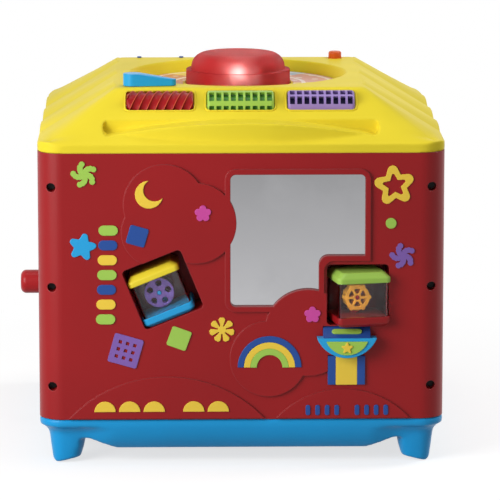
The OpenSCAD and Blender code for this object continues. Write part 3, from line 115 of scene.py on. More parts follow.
class CubeSizes(bpy.types.PropertyGroup):
    """Rounding of the edges, and the grids on which the roof and the base are drawn."""

    wall_edge: length_prop("Wall edges", "Rounding of the wall panels and reliefs", 0.9 * MM)
    base_voxel: length_prop("Base grid", "Grid on which the base's skin is drawn", 1.6 * MM)
    figure_edge: length_prop("Figure edges", "Rounding of the coloured figures", 0.5 * MM)
    block_edge: length_prop("Block edges", "Rounding of the play blocks", 1.0 * MM)
    small_edge: length_prop("Small edges", "Rounding of small parts", 0.3 * MM)
    roof_voxel: length_prop("Roof grid", "Grid on which the roof's skin is drawn", 1.0 * MM)
    hip_blend: length_prop("Hip blend", "Height over which two roof slopes run together", 26.0 * MM)
    rim_blend: length_prop("Top blend", "Height over which the slopes run into the top", 2.0 * MM)
    slot_rim: length_prop("Slot rims", "Radius of the bead round each roller slot", 1.0 * MM)


class CubeStage(bpy.types.PropertyGroup):
    """Camera and lamps."""

    distance: length_prop("Camera distance", "From the aim to the camera", 3.656)
    azimuth: angle_prop("Azimuth", "Camera angle round the cube", -1.19)
    elevation: angle_prop("Elevation", "Camera angle above the floor", 10.05)
    lens: level_prop("Lens", "Focal length in millimetres", 267.9, 10.0)
    key: level_prop("Key lamp", "Power of the large lamp in watts", 18.5)
    fill: level_prop("Fill lamp", "Power of the fill lamp in watts", 13.0)
    top: level_prop("Top lamp", "Power of the overhead lamp in watts", 4.5)
    sky: level_prop("Sky", "Strength of the surrounding light", 0.30)


class Wire:
    """A shader socket that takes part in Python arithmetic."""

    def __init__(self, finish, socket):
        self.finish = finish
        self.socket = socket

    def _math(self, operation, first, second):
        return self.finish.node("ShaderNodeMath", {"operation": operation}, {0: first, 1: second})

    def __add__(self, other):
        return self._math("ADD", self, other)

    def __radd__(self, other):
        return self._math("ADD", other, self)

    def __sub__(self, other):
        return self._math("SUBTRACT", self, other)

    def __rsub__(self, other):
        return self._math("SUBTRACT", other, self)

    def __mul__(self, other):
        return self._math("MULTIPLY", self, other)

    def __rmul__(self, other):
        return self._math("MULTIPLY", other, self)

    def __truediv__(self, other):
        return self._math("DIVIDE", self, other)

    def __rtruediv__(self, other):
        return self._math("DIVIDE", other, self)

    def __gt__(self, other):
        return self._math("GREATER_THAN", self, other)

    def __lt__(self, other):
        return self._math("LESS_THAN", self, other)

    def clamped(self, low, high):
        """This value held between two limits and stretched to 0 to 1."""
        limits = {"Value": self, "From Min": low, "From Max": high}
        return self.finish.node("ShaderNodeMapRange", {"clamp": True}, limits)

    def other(self, name):
        """Another output of the node that this wire comes from."""
        return Wire(self.finish, self.socket.node.outputs[name])


class Finish:
    """A material, or the world's light, and the one way to add nodes to it."""

    def __init__(self, name, world=False):
        self.owner = (bpy.data.worlds if world else bpy.data.materials).new(name)
        self.owner.use_nodes = True
        self.tree = self.owner.node_tree
        self.tree.nodes.clear()
        self.output = self.tree.nodes.new("ShaderNodeOutputWorld" if world else "ShaderNodeOutputMaterial")

    def node(self, kind, settings=None, inputs=None, out=0):
        """A new node: its type, its settings, then the values or wires of its sockets."""
        made = self.tree.nodes.new(kind)
        for key, value in (settings or {}).items():
            if key == "stops":
                self._stops(made.color_ramp, value)
            elif key == "interpolation":
                made.color_ramp.interpolation = value
            else:
                setattr(made, key, value)
        for key, value in (inputs or {}).items():
            self.feed(made.inputs[key], value)
        return Wire(self, made.outputs[out])

    @staticmethod
    def _stops(ramp, stops):
        while len(ramp.elements) < len(stops):
            ramp.elements.new(1.0)
        for element, (place, rgb) in zip(ramp.elements, stops):
            element.position = place
            element.color = (*rgb, 1.0)

    def feed(self, socket, value):
        """Links a wire to a socket, or sets the socket to a value."""
        if isinstance(value, Wire):
            self.tree.links.new(value.socket, socket)
        elif hasattr(value, "__len__"):
            values = tuple(value)
            opaque = len(values) == 3 and len(socket.default_value) == 4
            socket.default_value = (*values, 1.0) if opaque else values
        else:
            socket.default_value = value

    def place(self):
        """Object coordinates: the row frame at rest."""
        return self.node("ShaderNodeTexCoord", out="Object")

    def noise(self, scale, detail):
        """A soft random value, with scale waves to the metre."""
        return self.node("ShaderNodeTexNoise", None, {"Vector": self.place(), "Scale": scale, "Detail": detail})

    def mix(self, factor, first, second):
        """A colour between two others."""
        return self.node("ShaderNodeMix", {"data_type": "RGBA"}, {0: factor, 6: first, 7: second}, out=2)

    def vector(self, operation, first, second=None, out=0):
        """Vector maths on one or two vectors."""
        inputs = {0: first} if second is None else {0: first, 1: second}
        return self.node("ShaderNodeVectorMath", {"operation": operation}, inputs, out)

    def axes(self):
        """The x, y and z of a place on the piece."""
        x = self.node("ShaderNodeSeparateXYZ", None, {0: self.place()})
        return x, x.other("Y"), x.other("Z")

    def show(self, surface):
        """Makes a shader the one that is seen."""
        self.tree.links.new(surface.socket, self.output.inputs["Surface"])

    def shade(self, **inputs):
        """The surface shader; words with _ for spaces name its sockets."""
        sockets = {key.replace("_", " "): value for key, value in inputs.items()}
        self.show(self.node("ShaderNodeBsdfPrincipled", None, sockets))


# Colours that no one needs to change: printing inks, inner parts and marks of wear
WHITE = (1.0, 1.0, 1.0)
CLEAR_NEW = (0.96, 0.98, 1.0)
CLEAR_SCUFFED = (0.88, 0.91, 0.94)
STEEL_DARK = (0.42, 0.42, 0.43)
STEEL_BRIGHT = (0.62, 0.62, 0.62)
LENS_WARM = (1.0, 0.92, 0.88)
RIDGE_RED = (0.78, 0.16, 0.08)
PAPER = (0.95, 0.93, 0.88)
INKS = ((0.62, 0.20, 0.06), (0.80, 0.42, 0.36), (0.42, 0.56, 0.18), (0.82, 0.58, 0.12),
        (0.70, 0.34, 0.30), (0.40, 0.52, 0.70), (0.84, 0.60, 0.14), (0.66, 0.24, 0.08))
BACKING_GREY = (0.03, 0.03, 0.033)
LAMP_DARK = (0.05, 0.02, 0.02)
SCREW_BLACK = (0.010, 0.009, 0.009)
PLASTIC_BLACK = (0.012, 0.012, 0.013)
BOARD_GREEN = (0.010, 0.12, 0.03)
CELL_GREY = (0.05, 0.05, 0.055)
CONE_GREY = (0.07, 0.066, 0.06)

EDGE_WEAR_AND_HIGHLIGHT = 0.16             # how much paler an edge is, for wear and for a painted highlight
GRAIN_DEPTH = 0.15 * MM
HAZE_SHARE = 0.20       # how much of the dome is haze
LAMP_GLOW = 3600.0
DISC_RINGS = ((62.0 * MM, 66.0 * MM), (90.0 * MM, 94.0 * MM))
DOT_SIZE = 0.22         # as a share of the dots' spacing
DOT_INK = 0.6
RING_INK = 0.7


def scaled(rgb, amount):
    """A colour made darker or brighter."""
    return tuple(min(1.0, c * amount) for c in rgb)


def moulded(name, rgb, rough=0.34, edge=1.0 * MM, grain=0.05, gloss=0.24):
    """Moulded plastic: faint flow marks, a fine satin grain, and paler edges that are partly wear and partly
    painted highlight.
    """
    f = Finish(name)
    flow = f.noise(scale=7.0, detail=3.0)
    grain_noise = f.noise(scale=1300.0, detail=2.0)
    smear = f.noise(scale=38.0, detail=4.0)
    rounded = f.node("ShaderNodeBevel", {"samples": 4}, {"Radius": edge})
    plain = f.node("ShaderNodeNewGeometry", out="Normal")
    turned = f.vector("DOT_PRODUCT", rounded, plain, out="Value")
    # paler edges: partly wear, partly a painted highlight where a rounded edge would catch the light
    worn_and_lit_edges = (1.0 - turned).clamped(low=0.02, high=0.30)
    body = f.mix(flow.clamped(low=0.35, high=0.65), scaled(rgb, 0.94), scaled(rgb, 1.05))
    body = f.mix(worn_and_lit_edges * EDGE_WEAR_AND_HIGHLIGHT, body, tuple(c * 0.75 + 0.25 for c in rgb))
    bump = f.node("ShaderNodeBump", None, {"Strength": grain, "Distance": GRAIN_DEPTH,
                                           "Height": grain_noise, "Normal": rounded})
    f.shade(Base_Color=body, Roughness=rough + (smear - 0.5) * 0.10, Normal=bump, Specular_IOR_Level=gloss)
    return f.owner


def clear_plastic(name):
    """Clear moulded plastic with faint scuffs."""
    f = Finish(name)
    scuff = f.noise(scale=160.0, detail=5.0).clamped(low=0.50, high=0.75)
    f.shade(Base_Color=f.mix(scuff, CLEAR_NEW, CLEAR_SCUFFED), Roughness=0.03 + scuff * 0.10,
            Transmission_Weight=1.0, IOR=1.30)
    return f.owner


def lamp_red(name, rgb, glow):
    """Deep glossy red plastic with a haze in it that spreads the lamp's light."""
    f = Finish(name)
    cloud = f.noise(scale=30.0, detail=3.0)
    body = f.mix(cloud.clamped(low=0.3, high=0.7), scaled(rgb, 0.94), scaled(rgb, 1.06))
    skin = f.node("ShaderNodeBsdfPrincipled", None, {
        "Base Color": body, "Roughness": 0.30 + (cloud - 0.5) * 0.06, "Specular IOR Level": 0.0,
        "Coat Weight": 0.14, "Coat Roughness": 0.10, "Coat IOR": 1.3})
    haze = f.node("ShaderNodeBsdfPrincipled", None, {
        "Base Color": glow, "Roughness": 0.62, "Transmission Weight": 1.0, "IOR": 1.2,
        "Specular IOR Level": 0.1})
    f.show(f.node("ShaderNodeMixShader", None, {0: HAZE_SHARE, 1: skin, 2: haze}))
    return f.owner


def glowing(name, rgb, strength):
    """A lit lamp lens with a hotter middle."""
    f = Finish(name)
    spot = f.noise(scale=300.0, detail=1.0).clamped(low=0.3, high=0.7)
    warm = f.mix(spot, rgb, WHITE)
    f.shade(Base_Color=warm, Emission_Color=warm, Emission_Strength=strength, Roughness=0.3)
    return f.owner


def silvered(name, rgb):
    """Mirror film on plastic: slightly wavy, with a painted reflection that makes it darker towards its top, and a
    few cloudy patches.
    """
    f = Finish(name)
    wave = f.noise(scale=9.0, detail=1.0)
    cloud = f.noise(scale=24.0, detail=4.0).clamped(low=0.45, high=0.75)
    bump = f.node("ShaderNodeBump", None, {"Strength": 0.06, "Distance": 1.0 * MM, "Height": wave})
    # painted reflection: the film is made darker towards its top, standing in for what the mirror reflects
    height = f.axes()[2]
    film = f.mix(height.clamped(low=0.15, high=0.28), rgb, scaled(rgb, 0.62))
    film = f.mix(cloud * 0.5, film, scaled(rgb, 0.80))
    f.shade(Base_Color=film, Metallic=1.0, Roughness=0.03 + cloud * 0.04, Normal=bump)
    return f.owner


def steel(name):
    """Zinc-plated steel with fine scratches."""
    f = Finish(name)
    scratch = f.noise(scale=700.0, detail=6.0)
    f.shade(Base_Color=f.mix(scratch, STEEL_DARK, STEEL_BRIGHT), Metallic=1.0,
            Roughness=0.26 + scratch * 0.18)
    return f.owner


def printed_disc(name):
    """Satin turntable printed with coloured wedges, dots and rings."""
    f = Finish(name)
    x, y, _ = f.axes()
    angle = f.node("ShaderNodeMath", {"operation": "ARCTAN2"}, {0: y, 1: x})
    turn = angle / (2 * math.pi) + 0.5
    stops = [(i / len(INKS), ink) for i, ink in enumerate(INKS)]
    wedges = f.node("ShaderNodeValToRGB", {"interpolation": "CONSTANT", "stops": stops}, {0: turn})
    radius = f.vector("LENGTH", f.node("ShaderNodeCombineXYZ", None, {0: x, 1: y}), out="Value")
    inner, outer = ((radius > low) * (radius < high) for low, high in DISC_RINGS)
    dots = f.node("ShaderNodeTexVoronoi", {"feature": "F1"}, {"Vector": f.place(), "Scale": 62.0}, out="Distance")
    paper = f.mix((dots < DOT_SIZE) * DOT_INK, wedges, PAPER)
    paper = f.mix((inner + outer) * RING_INK, paper, PAPER)
    fleck = f.noise(scale=500.0, detail=2.0)
    f.shade(Base_Color=paper, Roughness=0.30 + (fleck - 0.5) * 0.1, Specular_IOR_Level=0.12)
    return f.owner


def seen_rays(f):
    """1 for rays that show a thing to the camera, in gloss or through clear plastic, and else 0."""
    camera = f.node("ShaderNodeLightPath", out="Is Camera Ray")
    return (camera + camera.other("Is Glossy Ray") + camera.other("Is Transmission Ray")).clamped(low=0.0, high=1.0)


# The roof's slopes as the CAD has them, for the soft hips and the slot rims
EAVE_TOP = 304.0 * MM
HALF = 190.0 * MM
PITCH = 44.0 / 73.0
ROLLER_SINK = 7.0 * MM
SLOT_END = 1.4 * MM
SLOT_HALF = 15.2 * MM
SLOT_BEND = 4.6 * MM

# The base as the CAD has it: flange, skirt, and the wedges cut out of the skirt beside the feet
CORNER = 24.0 * MM
FLANGE_LOW = 36.0 * MM
SKIRT_LOW = 14.0 * MM
SKIRT_LIP = 8.0 * MM
SKIRT_IN = 12.0 * MM
NOTCH_START = 118.0 * MM
NOTCH_PEAK = 143.0 * MM
NOTCH_TOP = 23.5 * MM
FOOT_SIDE = 152.0 * MM
FOOT_MIDDLE = 164.5 * MM
FOOT_SOLE = 26.0 * MM

# How far a pressed spring stays clear of what presses it
SPRING_SLACK = 0.05 * MM


WELD_GAP = 0.005 * MM
FLAT_ANGLE = math.radians(0.4)


def soften(node, width, finish, segments=3, limit=30.0):
    """Rounds a CAD node's edges that turn by more than limit degrees, and gives it a finish."""
    piece = frame["nodes"][node]
    mesh = piece.data
    if mesh.has_custom_normals:
        with bpy.context.temp_override(object=piece, active_object=piece, selected_editable_objects=[piece]):
            bpy.ops.mesh.customdata_custom_splitnormals_clear()
    mesh.shade_smooth()
    if width > 0:
        weld = piece.modifiers.new("join", "WELD")
        weld.merge_threshold = WELD_GAP
        flats = piece.modifiers.new("flats", "DECIMATE")
        flats.decimate_type = "DISSOLVE"
        flats.angle_limit = FLAT_ANGLE
        edges = piece.modifiers.new("edges", "BEVEL")
        edges.width = width
        edges.segments = segments
        edges.limit_method = "ANGLE"
        edges.angle_limit = math.radians(limit)
        edges.miter_outer = "MITER_ARC"
        edges.use_clamp_overlap = True
    shade = piece.modifiers.new("shade", "WEIGHTED_NORMAL")
    shade.keep_sharp = True
    shade.weight = 60
    mesh.materials.clear()
    mesh.materials.append(finish)
    return piece


def colours():
    """The colours that the panel shows."""
    return bpy.context.scene.cube_colours


def sizes():
    """The sizes that the panel shows."""
    return bpy.context.scene.cube_sizes


def corners(node):
    """The lowest and the highest corner of a CAD node at rest."""
    return [Vector(corner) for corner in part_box(node)]


def drawn(name, made):
    """The mesh that a bmesh holds."""
    mesh = bpy.data.meshes.new(name)
    made.to_mesh(mesh)
    made.free()
    return mesh


def rub_down(piece, rounds):
    """Smooths a piece's mesh a little, round by round."""
    relax = piece.modifiers.new("relax", "SMOOTH")
    relax.factor = 0.5
    relax.iterations = rounds


def close_rings(made, rings, flipped=False):
    """Joins closed rings of points, and the last ring to the first; flipped turns the faces over."""
    for one, two in zip(rings, rings[1:] + rings[:1]):
        for n in range(len(one)):
            m = (n + 1) % len(one)
            face = (one[n], one[m], two[m], two[n]) if flipped else (one[n], two[n], two[m], one[m])
            made.faces.new(face)


class CUBE_OT_walls(bpy.types.Operator):
    """Dress the four red walls"""

    bl_idname = "cube.walls"
    bl_label = "Walls"

    def execute(self, context):
        red = moulded("wall_red", colours().red, rough=0.36, edge=1.2 * MM)
        for node in ("front_panel", "back_panel", "left_panel", "right_panel"):
            soften(node, sizes().wall_edge, red)
        return {"FINISHED"}


def new_piece(name, mesh, body, slot_name, finish, *nodes):
    """A piece of the scene that stands for CAD nodes, rides on a body and takes a finish."""
    piece = bpy.data.objects.new(name, mesh)
    bpy.context.scene.collection.objects.link(piece)
    mesh.materials.clear()
    mesh.materials.append(finish)
    mesh.shade_smooth()
    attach(piece, body)
    if nodes:
        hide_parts(*nodes)
    return piece


def even_grid(node, voxel, rounds, add=None):
    """A copy of a CAD node's mesh on an even grid, rubbed down; add draws more into it first."""
    made = bmesh.new()
    made.from_mesh(frame["nodes"][node].data)
    if add:
        add(made)
    copy = bpy.data.objects.new(node + "_grid", drawn(node + "_grid", made))
    bpy.context.scene.collection.objects.link(copy)
    grid = copy.modifiers.new("grid", "REMESH")
    grid.mode = "VOXEL"
    grid.voxel_size = voxel
    rub_down(copy, rounds)
    ready = copy.evaluated_get(bpy.context.evaluated_depsgraph_get())
    mesh = bpy.data.meshes.new_from_object(ready)
    bpy.data.objects.remove(copy)
    return mesh


def points_of(mesh):
    """The places of a mesh's points, as rows of x, y and z."""
    at = np.empty(len(mesh.vertices) * 3, dtype=np.float32)
    mesh.vertices.foreach_get("co", at)
    return at.reshape(-1, 3)


def put_points(mesh, at):
    """Puts a mesh's points in new places."""
    mesh.vertices.foreach_set("co", at.ravel())
    mesh.update()


def soft_lower(first, second, reach):
    """The lower of two heights, with a soft corner where they differ by less than reach."""
    near = np.clip(reach - np.abs(first - second), 0.0, None)
    return np.minimum(first, second) - near ** 2 / (4.0 * reach)


def eased(value):
    """A smooth step from 0 to 1."""
    value = np.clip(value, 0.0, 1.0)
    return value * value * (3.0 - 2.0 * value)


class CUBE_OT_roof(bpy.types.Operator):
    """Redraw the yellow roof with soft hips, and add the rims of its roller slots"""

    bl_idname = "cube.roof"
    bl_label = "Roof"

    ROUNDS = 6
    TOP_TIGHTER = 0.85
    BACK_SHARE = 0.5
    EAVE_EASE = 10.0 * MM
    BEND_STEPS = 6
    BEAD_SIDES = 10

    def execute(self, context):
        yellow = moulded("roof_yellow", colours().yellow, rough=0.40, edge=2.0 * MM, gloss=0.05)
        new_piece("roof_skin", self.skin(), "shell", "yellow_plastic", yellow, "roof")
        new_piece("slot_rims", self.rims(), "shell", "yellow_plastic", yellow)
        return {"FINISHED"}

    def skin(self):
        """The CAD roof on an even grid, with its hips and its upper edge rounded off."""
        mesh = even_grid("roof", sizes().roof_voxel, self.ROUNDS)
        self.soften_hips(mesh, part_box("roof")[1][2])
        return mesh

    def soften_hips(self, mesh, top):
        """Lowers the hips and the upper edge, more at the eaves than at the top, and less at the back."""
        at = points_of(mesh)
        across = EAVE_TOP + PITCH * (HALF - np.abs(at[:, 0]))
        along = EAVE_TOP + PITCH * (HALF - np.abs(at[:, 1]))
        sharp = np.minimum(np.minimum(across, along), top)
        climb = eased((sharp - EAVE_TOP) / (top - EAVE_TOP))
        reach = sizes().hip_blend * (1.0 - self.TOP_TIGHTER * climb)
        reach *= np.where(at[:, 1] > 0, self.BACK_SHARE, 1.0)
        soft = soft_lower(soft_lower(across, along, reach), top, sizes().rim_blend)
        at[:, 2] -= (sharp - soft) * eased((at[:, 2] - EAVE_TOP) / self.EAVE_EASE)
        put_points(mesh, at)

    def rims(self):
        """A thin raised bead round each roller slot."""
        made = bmesh.new()
        for roller in ("red_roller", "green_roller", "purple_roller"):
            low, high = corners(roller)
            self.bead(made, (low + high) / 2, (high.x - low.x) / 2 + SLOT_END, SLOT_HALF)
        return drawn("slot_rims", made)

    def bead(self, made, axis, half_x, half_y):
        """A closed round bead along a rounded rectangle that lies on the front slope."""
        tilt = math.atan(PITCH)
        out = Vector((0.0, -math.sin(tilt), math.cos(tilt)))
        up = Vector((0.0, math.cos(tilt), math.sin(tilt)))
        right = Vector((1.0, 0.0, 0.0))
        middle = axis + out * ROLLER_SINK
        radius = sizes().slot_rim
        rings = []
        for sx, sy, start in ((1, 1, 0), (-1, 1, 90), (-1, -1, 180), (1, -1, 270)):
            heel = middle + right * sx * (half_x - SLOT_BEND) + up * sy * (half_y - SLOT_BEND)
            for k in range(self.BEND_STEPS + 1):
                turn = math.radians(start + 90 * k / self.BEND_STEPS)
                outward = right * math.cos(turn) + up * math.sin(turn)
                spot = heel + outward * SLOT_BEND
                angles = (2 * math.pi * n / self.BEAD_SIDES for n in range(self.BEAD_SIDES))
                rings.append([made.verts.new(spot + radius * (math.cos(a) * outward + math.sin(a) * out))
                              for a in angles])
        close_rings(made, rings)


class CUBE_OT_base(bpy.types.Operator):
    """Redraw the blue base with a soft lip and soft feet, and dress its underside"""

    bl_idname = "cube.base"
    bl_label = "Base"

    APRON_RINGS = 120
    CORNER_RINGS = 10
    LEAN_TOP = 39.0 * MM
    FOOT_LEAN = 0.3
    SOLE_LIFT = 4.5 * MM
    APRON_STEPS = 14
    APRON_BEND = 2.4
    APRON_DROP = 2.0 * MM
    APRON_ROOT = 1.5 * MM
    GRID_ROUNDS = 6
    SKIN_ROUNDS = 4

    def execute(self, context):
        blue = moulded("base_blue", colours().blue, rough=0.32, edge=1.5 * MM)
        mesh = even_grid("base_tray", sizes().base_voxel, self.GRID_ROUNDS, self.aprons)
        self.shape_feet(mesh)
        skin = new_piece("base_skin", mesh, "shell", "blue_plastic", blue, "base_tray")
        rub_down(skin, self.SKIN_ROUNDS)
        for node in ("bottom_cover", "battery_door"):
            soften(node, sizes().small_edge, blue)
        return {"FINISHED"}

    def shape_feet(self, mesh):
        """Lifts the inner side of each sole a little, so that a foot stands on its outer corner."""
        at = points_of(mesh)
        inner = np.max(FOOT_MIDDLE - np.abs(at[:, :2]), axis=1) / FOOT_SOLE
        low = np.clip(1.0 - at[:, 2] / SKIRT_LOW, 0.0, 1.0)
        at[:, 2] += self.SOLE_LIFT * eased(inner + 0.5) * low
        put_points(mesh, at)

    def aprons(self, made):
        """Fills the step under the flange with a rounded slope, and with a chamfer round the corners."""
        high = corners("base_tray")[1]
        rings = []
        for turn in range(4):
            half = (high.y, high.x)[turn % 2]
            along = (high.x, high.y)[turn % 2] - CORNER
            spin = Matrix.Rotation(math.radians(90 * turn), 3, "Z")
            stations = [(along * (2.0 * i / self.APRON_RINGS - 1.0), 0.0)
                        for i in range(self.APRON_RINGS + 1)]
            stations += [(along, math.radians(90.0 * i / self.CORNER_RINGS))
                         for i in range(1, self.CORNER_RINGS)]
            for s, bend in stations:
                heel = Vector((s, CORNER - half, 0.0))
                outward = Vector((math.sin(bend), -math.cos(bend), 0.0))
                places = (heel + outward * (CORNER + depth) + Vector((0.0, 0.0, z))
                          for depth, z in self.slope(s, high.z))
                rings.append([made.verts.new(spin @ place) for place in places])
        close_rings(made, rings, flipped=True)

    def slope(self, s, top):
        """One section of the apron, as depths (minus is inward) and heights round its outline."""
        rise = min(1.0, max(0.0, (abs(s) - NOTCH_START) / (NOTCH_PEAK - NOTCH_START)))
        bottom = SKIRT_LOW + (NOTCH_TOP - SKIRT_LOW) * rise
        full = 1.0 - float(eased((abs(s) - NOTCH_START) / (FOOT_SIDE - NOTCH_START)))
        start = top - self.APRON_DROP
        outer, inner = [], []
        for k in range(self.APRON_STEPS + 1):
            z = start - (start - bottom) * k / self.APRON_STEPS
            down = min(1.0, max(0.0, (FLANGE_LOW - z) / (FLANGE_LOW - SKIRT_LOW)))
            skirt = SKIRT_LIP + (SKIRT_IN - SKIRT_LIP) * down
            under = max(0.0, self.LEAN_TOP - z)
            lean = min(under, SKIRT_LIP) + self.FOOT_LEAN * max(0.0, under - SKIRT_LIP)
            curve = SKIRT_IN * ((top - z) / (top - SKIRT_LOW)) ** self.APRON_BEND
            outer.append((-(lean + (curve - lean) * full), z))
            inner.append((-skirt - self.APRON_ROOT, z))
        return outer + inner[::-1]


class CUBE_OT_figures(bpy.types.Operator):
    """Dress the coloured figures and the shelf"""

    bl_idname = "cube.figures"
    bl_label = "Figures"

    def execute(self, context):
        c = colours()
        paints = {"shapes_green": c.green, "shapes_yellow": c.warm_yellow, "shapes_blue": c.dark_blue,
                  "shapes_light_blue": c.light_blue, "shapes_purple": c.purple, "shapes_pink": c.pink}
        for node, rgb in paints.items():
            soften(node, sizes().figure_edge, moulded(node.replace("shapes", "figure"), rgb, edge=0.6 * MM))
        soften("block_shelf", sizes().block_edge, moulded("shelf_blue", c.light_blue))
        return {"FINISHED"}


class CUBE_OT_mirror(bpy.types.Operator):
    """Dress the mirror and its backing"""

    bl_idname = "cube.mirror"
    bl_label = "Mirror"

    def execute(self, context):
        soften("mirror_glass", 0, silvered("mirror_film", colours().mirror))
        soften("mirror_backing", sizes().small_edge, moulded("backing_grey", BACKING_GREY, rough=0.5))
        return {"FINISHED"}


class CUBE_OT_blocks(bpy.types.Operator):
    """Dress the pockets and the two play blocks"""

    bl_idname = "cube.blocks"
    bl_label = "Blocks"

    def execute(self, context):
        c = colours()
        clear = clear_plastic("clear_case")
        pocket = moulded("pocket_red", c.red, rough=0.4)
        for node in ("left_pocket", "right_pocket"):
            soften(node, sizes().small_edge, pocket)
        parts = {"block_a_base": c.light_blue, "block_a_cap": c.yellow,
                 "block_b_base": c.red, "block_b_cap": c.green}
        for node, rgb in parts.items():
            soften(node, sizes().block_edge, moulded(node + "_plastic", rgb, rough=0.32), limit=24)
        for node in ("block_a_case", "block_b_case"):
            soften(node, sizes().small_edge, clear)
        soften("block_a_spinner", sizes().small_edge, moulded("spinner_purple", c.purple, rough=0.3))
        soften("block_b_ring", sizes().small_edge, moulded("ring_amber", c.amber, rough=0.3))
        return {"FINISHED"}


class CUBE_OT_rollers(bpy.types.Operator):
    """Dress the two cage rollers and redraw the twisted one"""

    bl_idname = "cube.rollers"
    bl_label = "Rollers"

    RIDGES = 5
    LEAD = 40.0 * MM
    CORE = 0.83
    END = 3.0 * MM
    RINGS = 180
    SIDES = 160
    RIDGE_WIDTH = 0.085     # as a share of the way from ridge to ridge
    RIDGE_SHARE = 0.8       # the rest of the rise is a flat tent between the ridges
    CREST = (0.905, 0.985)  # where the paler red comes in, as shares of the radius
    CREST_INK = 0.7

    def execute(self, context):
        c = colours()
        parts = {"green_roller": c.green, "green_core": c.dark_green,
                 "purple_roller": c.lilac, "purple_core": c.navy}
        for node, rgb in parts.items():
            finish = moulded(node + "_plastic", rgb, rough=0.28, edge=0.5 * MM, gloss=0.14)
            soften(node, sizes().small_edge, finish)
        two_reds = self.two_reds("roller_red")
        new_piece("twisted_roller", self.twisted(), "red_spinner", "red_plastic", two_reds, "red_roller")
        return {"FINISHED"}

    def two_reds(self, name):
        """Deep red between the ridges and a paler orange red along them, by the distance from the axle."""
        low, high = corners("red_roller")
        radius = (high.z - low.z) / 2
        f = Finish(name)
        off = f.vector("SUBTRACT", f.place(), tuple((low + high) / 2))
        across = f.vector("MULTIPLY", off, (0.0, 1.0, 1.0))
        out = f.vector("LENGTH", across, out="Value")
        crest = out.clamped(*(radius * share for share in self.CREST))
        smear = f.noise(scale=60.0, detail=3.0)
        red = f.mix(smear.clamped(low=0.3, high=0.7), scaled(colours().red, 0.95), scaled(colours().red, 1.15))
        f.shade(Base_Color=f.mix(crest * self.CREST_INK, red, RIDGE_RED), Roughness=0.24 + smear * 0.08,
                Specular_IOR_Level=0.14)
        return f.owner

    def twisted(self):
        """A drum with thin ridges that wind round it."""
        low, high = corners("red_roller")
        middle = (low + high) / 2
        length = high.x - low.x
        radius = (high.z - low.z) / 2
        made = bmesh.new()
        rings = []
        for i in range(self.RINGS + 1):
            x = length * (i / self.RINGS - 0.5)
            inset = max(0.0, abs(x) - length / 2 + self.END)
            reach = radius - self.END + math.sqrt(max(0.0, self.END ** 2 - inset ** 2))
            rings.append([made.verts.new(middle + self.point(x, 2 * math.pi * n / self.SIDES, reach))
                          for n in range(self.SIDES)])
        for one, two in zip(rings, rings[1:]):
            for n in range(self.SIDES):
                m = (n + 1) % self.SIDES
                made.faces.new((one[n], two[n], two[m], one[m]))
        made.faces.new(rings[0])
        made.faces.new(reversed(rings[-1]))
        bmesh.ops.recalc_face_normals(made, faces=made.faces)
        return drawn("twisted_roller", made)

    def point(self, x, angle, radius):
        """A point of the drum: angle runs from the front over the top."""
        phase = (self.RIDGES * (angle / (2 * math.pi) - x / self.LEAD)) % 1.0 - 0.5
        ridge = self.RIDGE_SHARE * math.exp(-(phase / self.RIDGE_WIDTH) ** 2)
        ridge += (1.0 - self.RIDGE_SHARE) * (1.0 - 2.0 * abs(phase))
        reach = radius * (self.CORE + (1.0 - self.CORE) * ridge)
        return Vector((x, -reach * math.cos(angle), reach * math.sin(angle)))


class CUBE_OT_dome(bpy.types.Operator):
    """Dress the turntable, the light dome and its lamp"""

    bl_idname = "cube.dome"
    bl_label = "Dome and turntable"

    def execute(self, context):
        soften("picture_disc", sizes().small_edge, printed_disc("disc_print"))
        soften("dome_cover", sizes().small_edge, lamp_red("dome_red", colours().dome, colours().haze))
        dark = moulded("lamp_dark", LAMP_DARK, rough=0.5)
        for node in ("dome_carrier", "lamp_cup", "click_wheel"):
            soften(node, sizes().small_edge, dark)
        soften("lamp_led", 0, glowing("lamp_lens", LENS_WARM, LAMP_GLOW))
        return {"FINISHED"}


class CUBE_OT_controls(bpy.types.Operator):
    """Dress the paddle, the push button and the side knob"""

    bl_idname = "cube.controls"
    bl_label = "Controls"

    PADDLE_EDGE = 2.2       # as a share of a block's edge
    KNOB_PAINTED_LIGHT = 1.3     # times the walls' red: painted light for the lamp at the left

    def execute(self, context):
        c = colours()
        paddle = moulded("paddle_blue", c.light_blue, rough=0.25, gloss=0.16)
        soften("paddle", self.PADDLE_EDGE * sizes().block_edge, paddle, segments=4, limit=24)
        soften("orange_button", sizes().small_edge, moulded("button_orange", c.orange, rough=0.25))
        # painted light: the knob is the walls' red, made brighter as if lit from the left
        knob = moulded("knob_red", scaled(c.red, self.KNOB_PAINTED_LIGHT), rough=0.3)
        soften("side_knob", sizes().small_edge, knob)
        return {"FINISHED"}


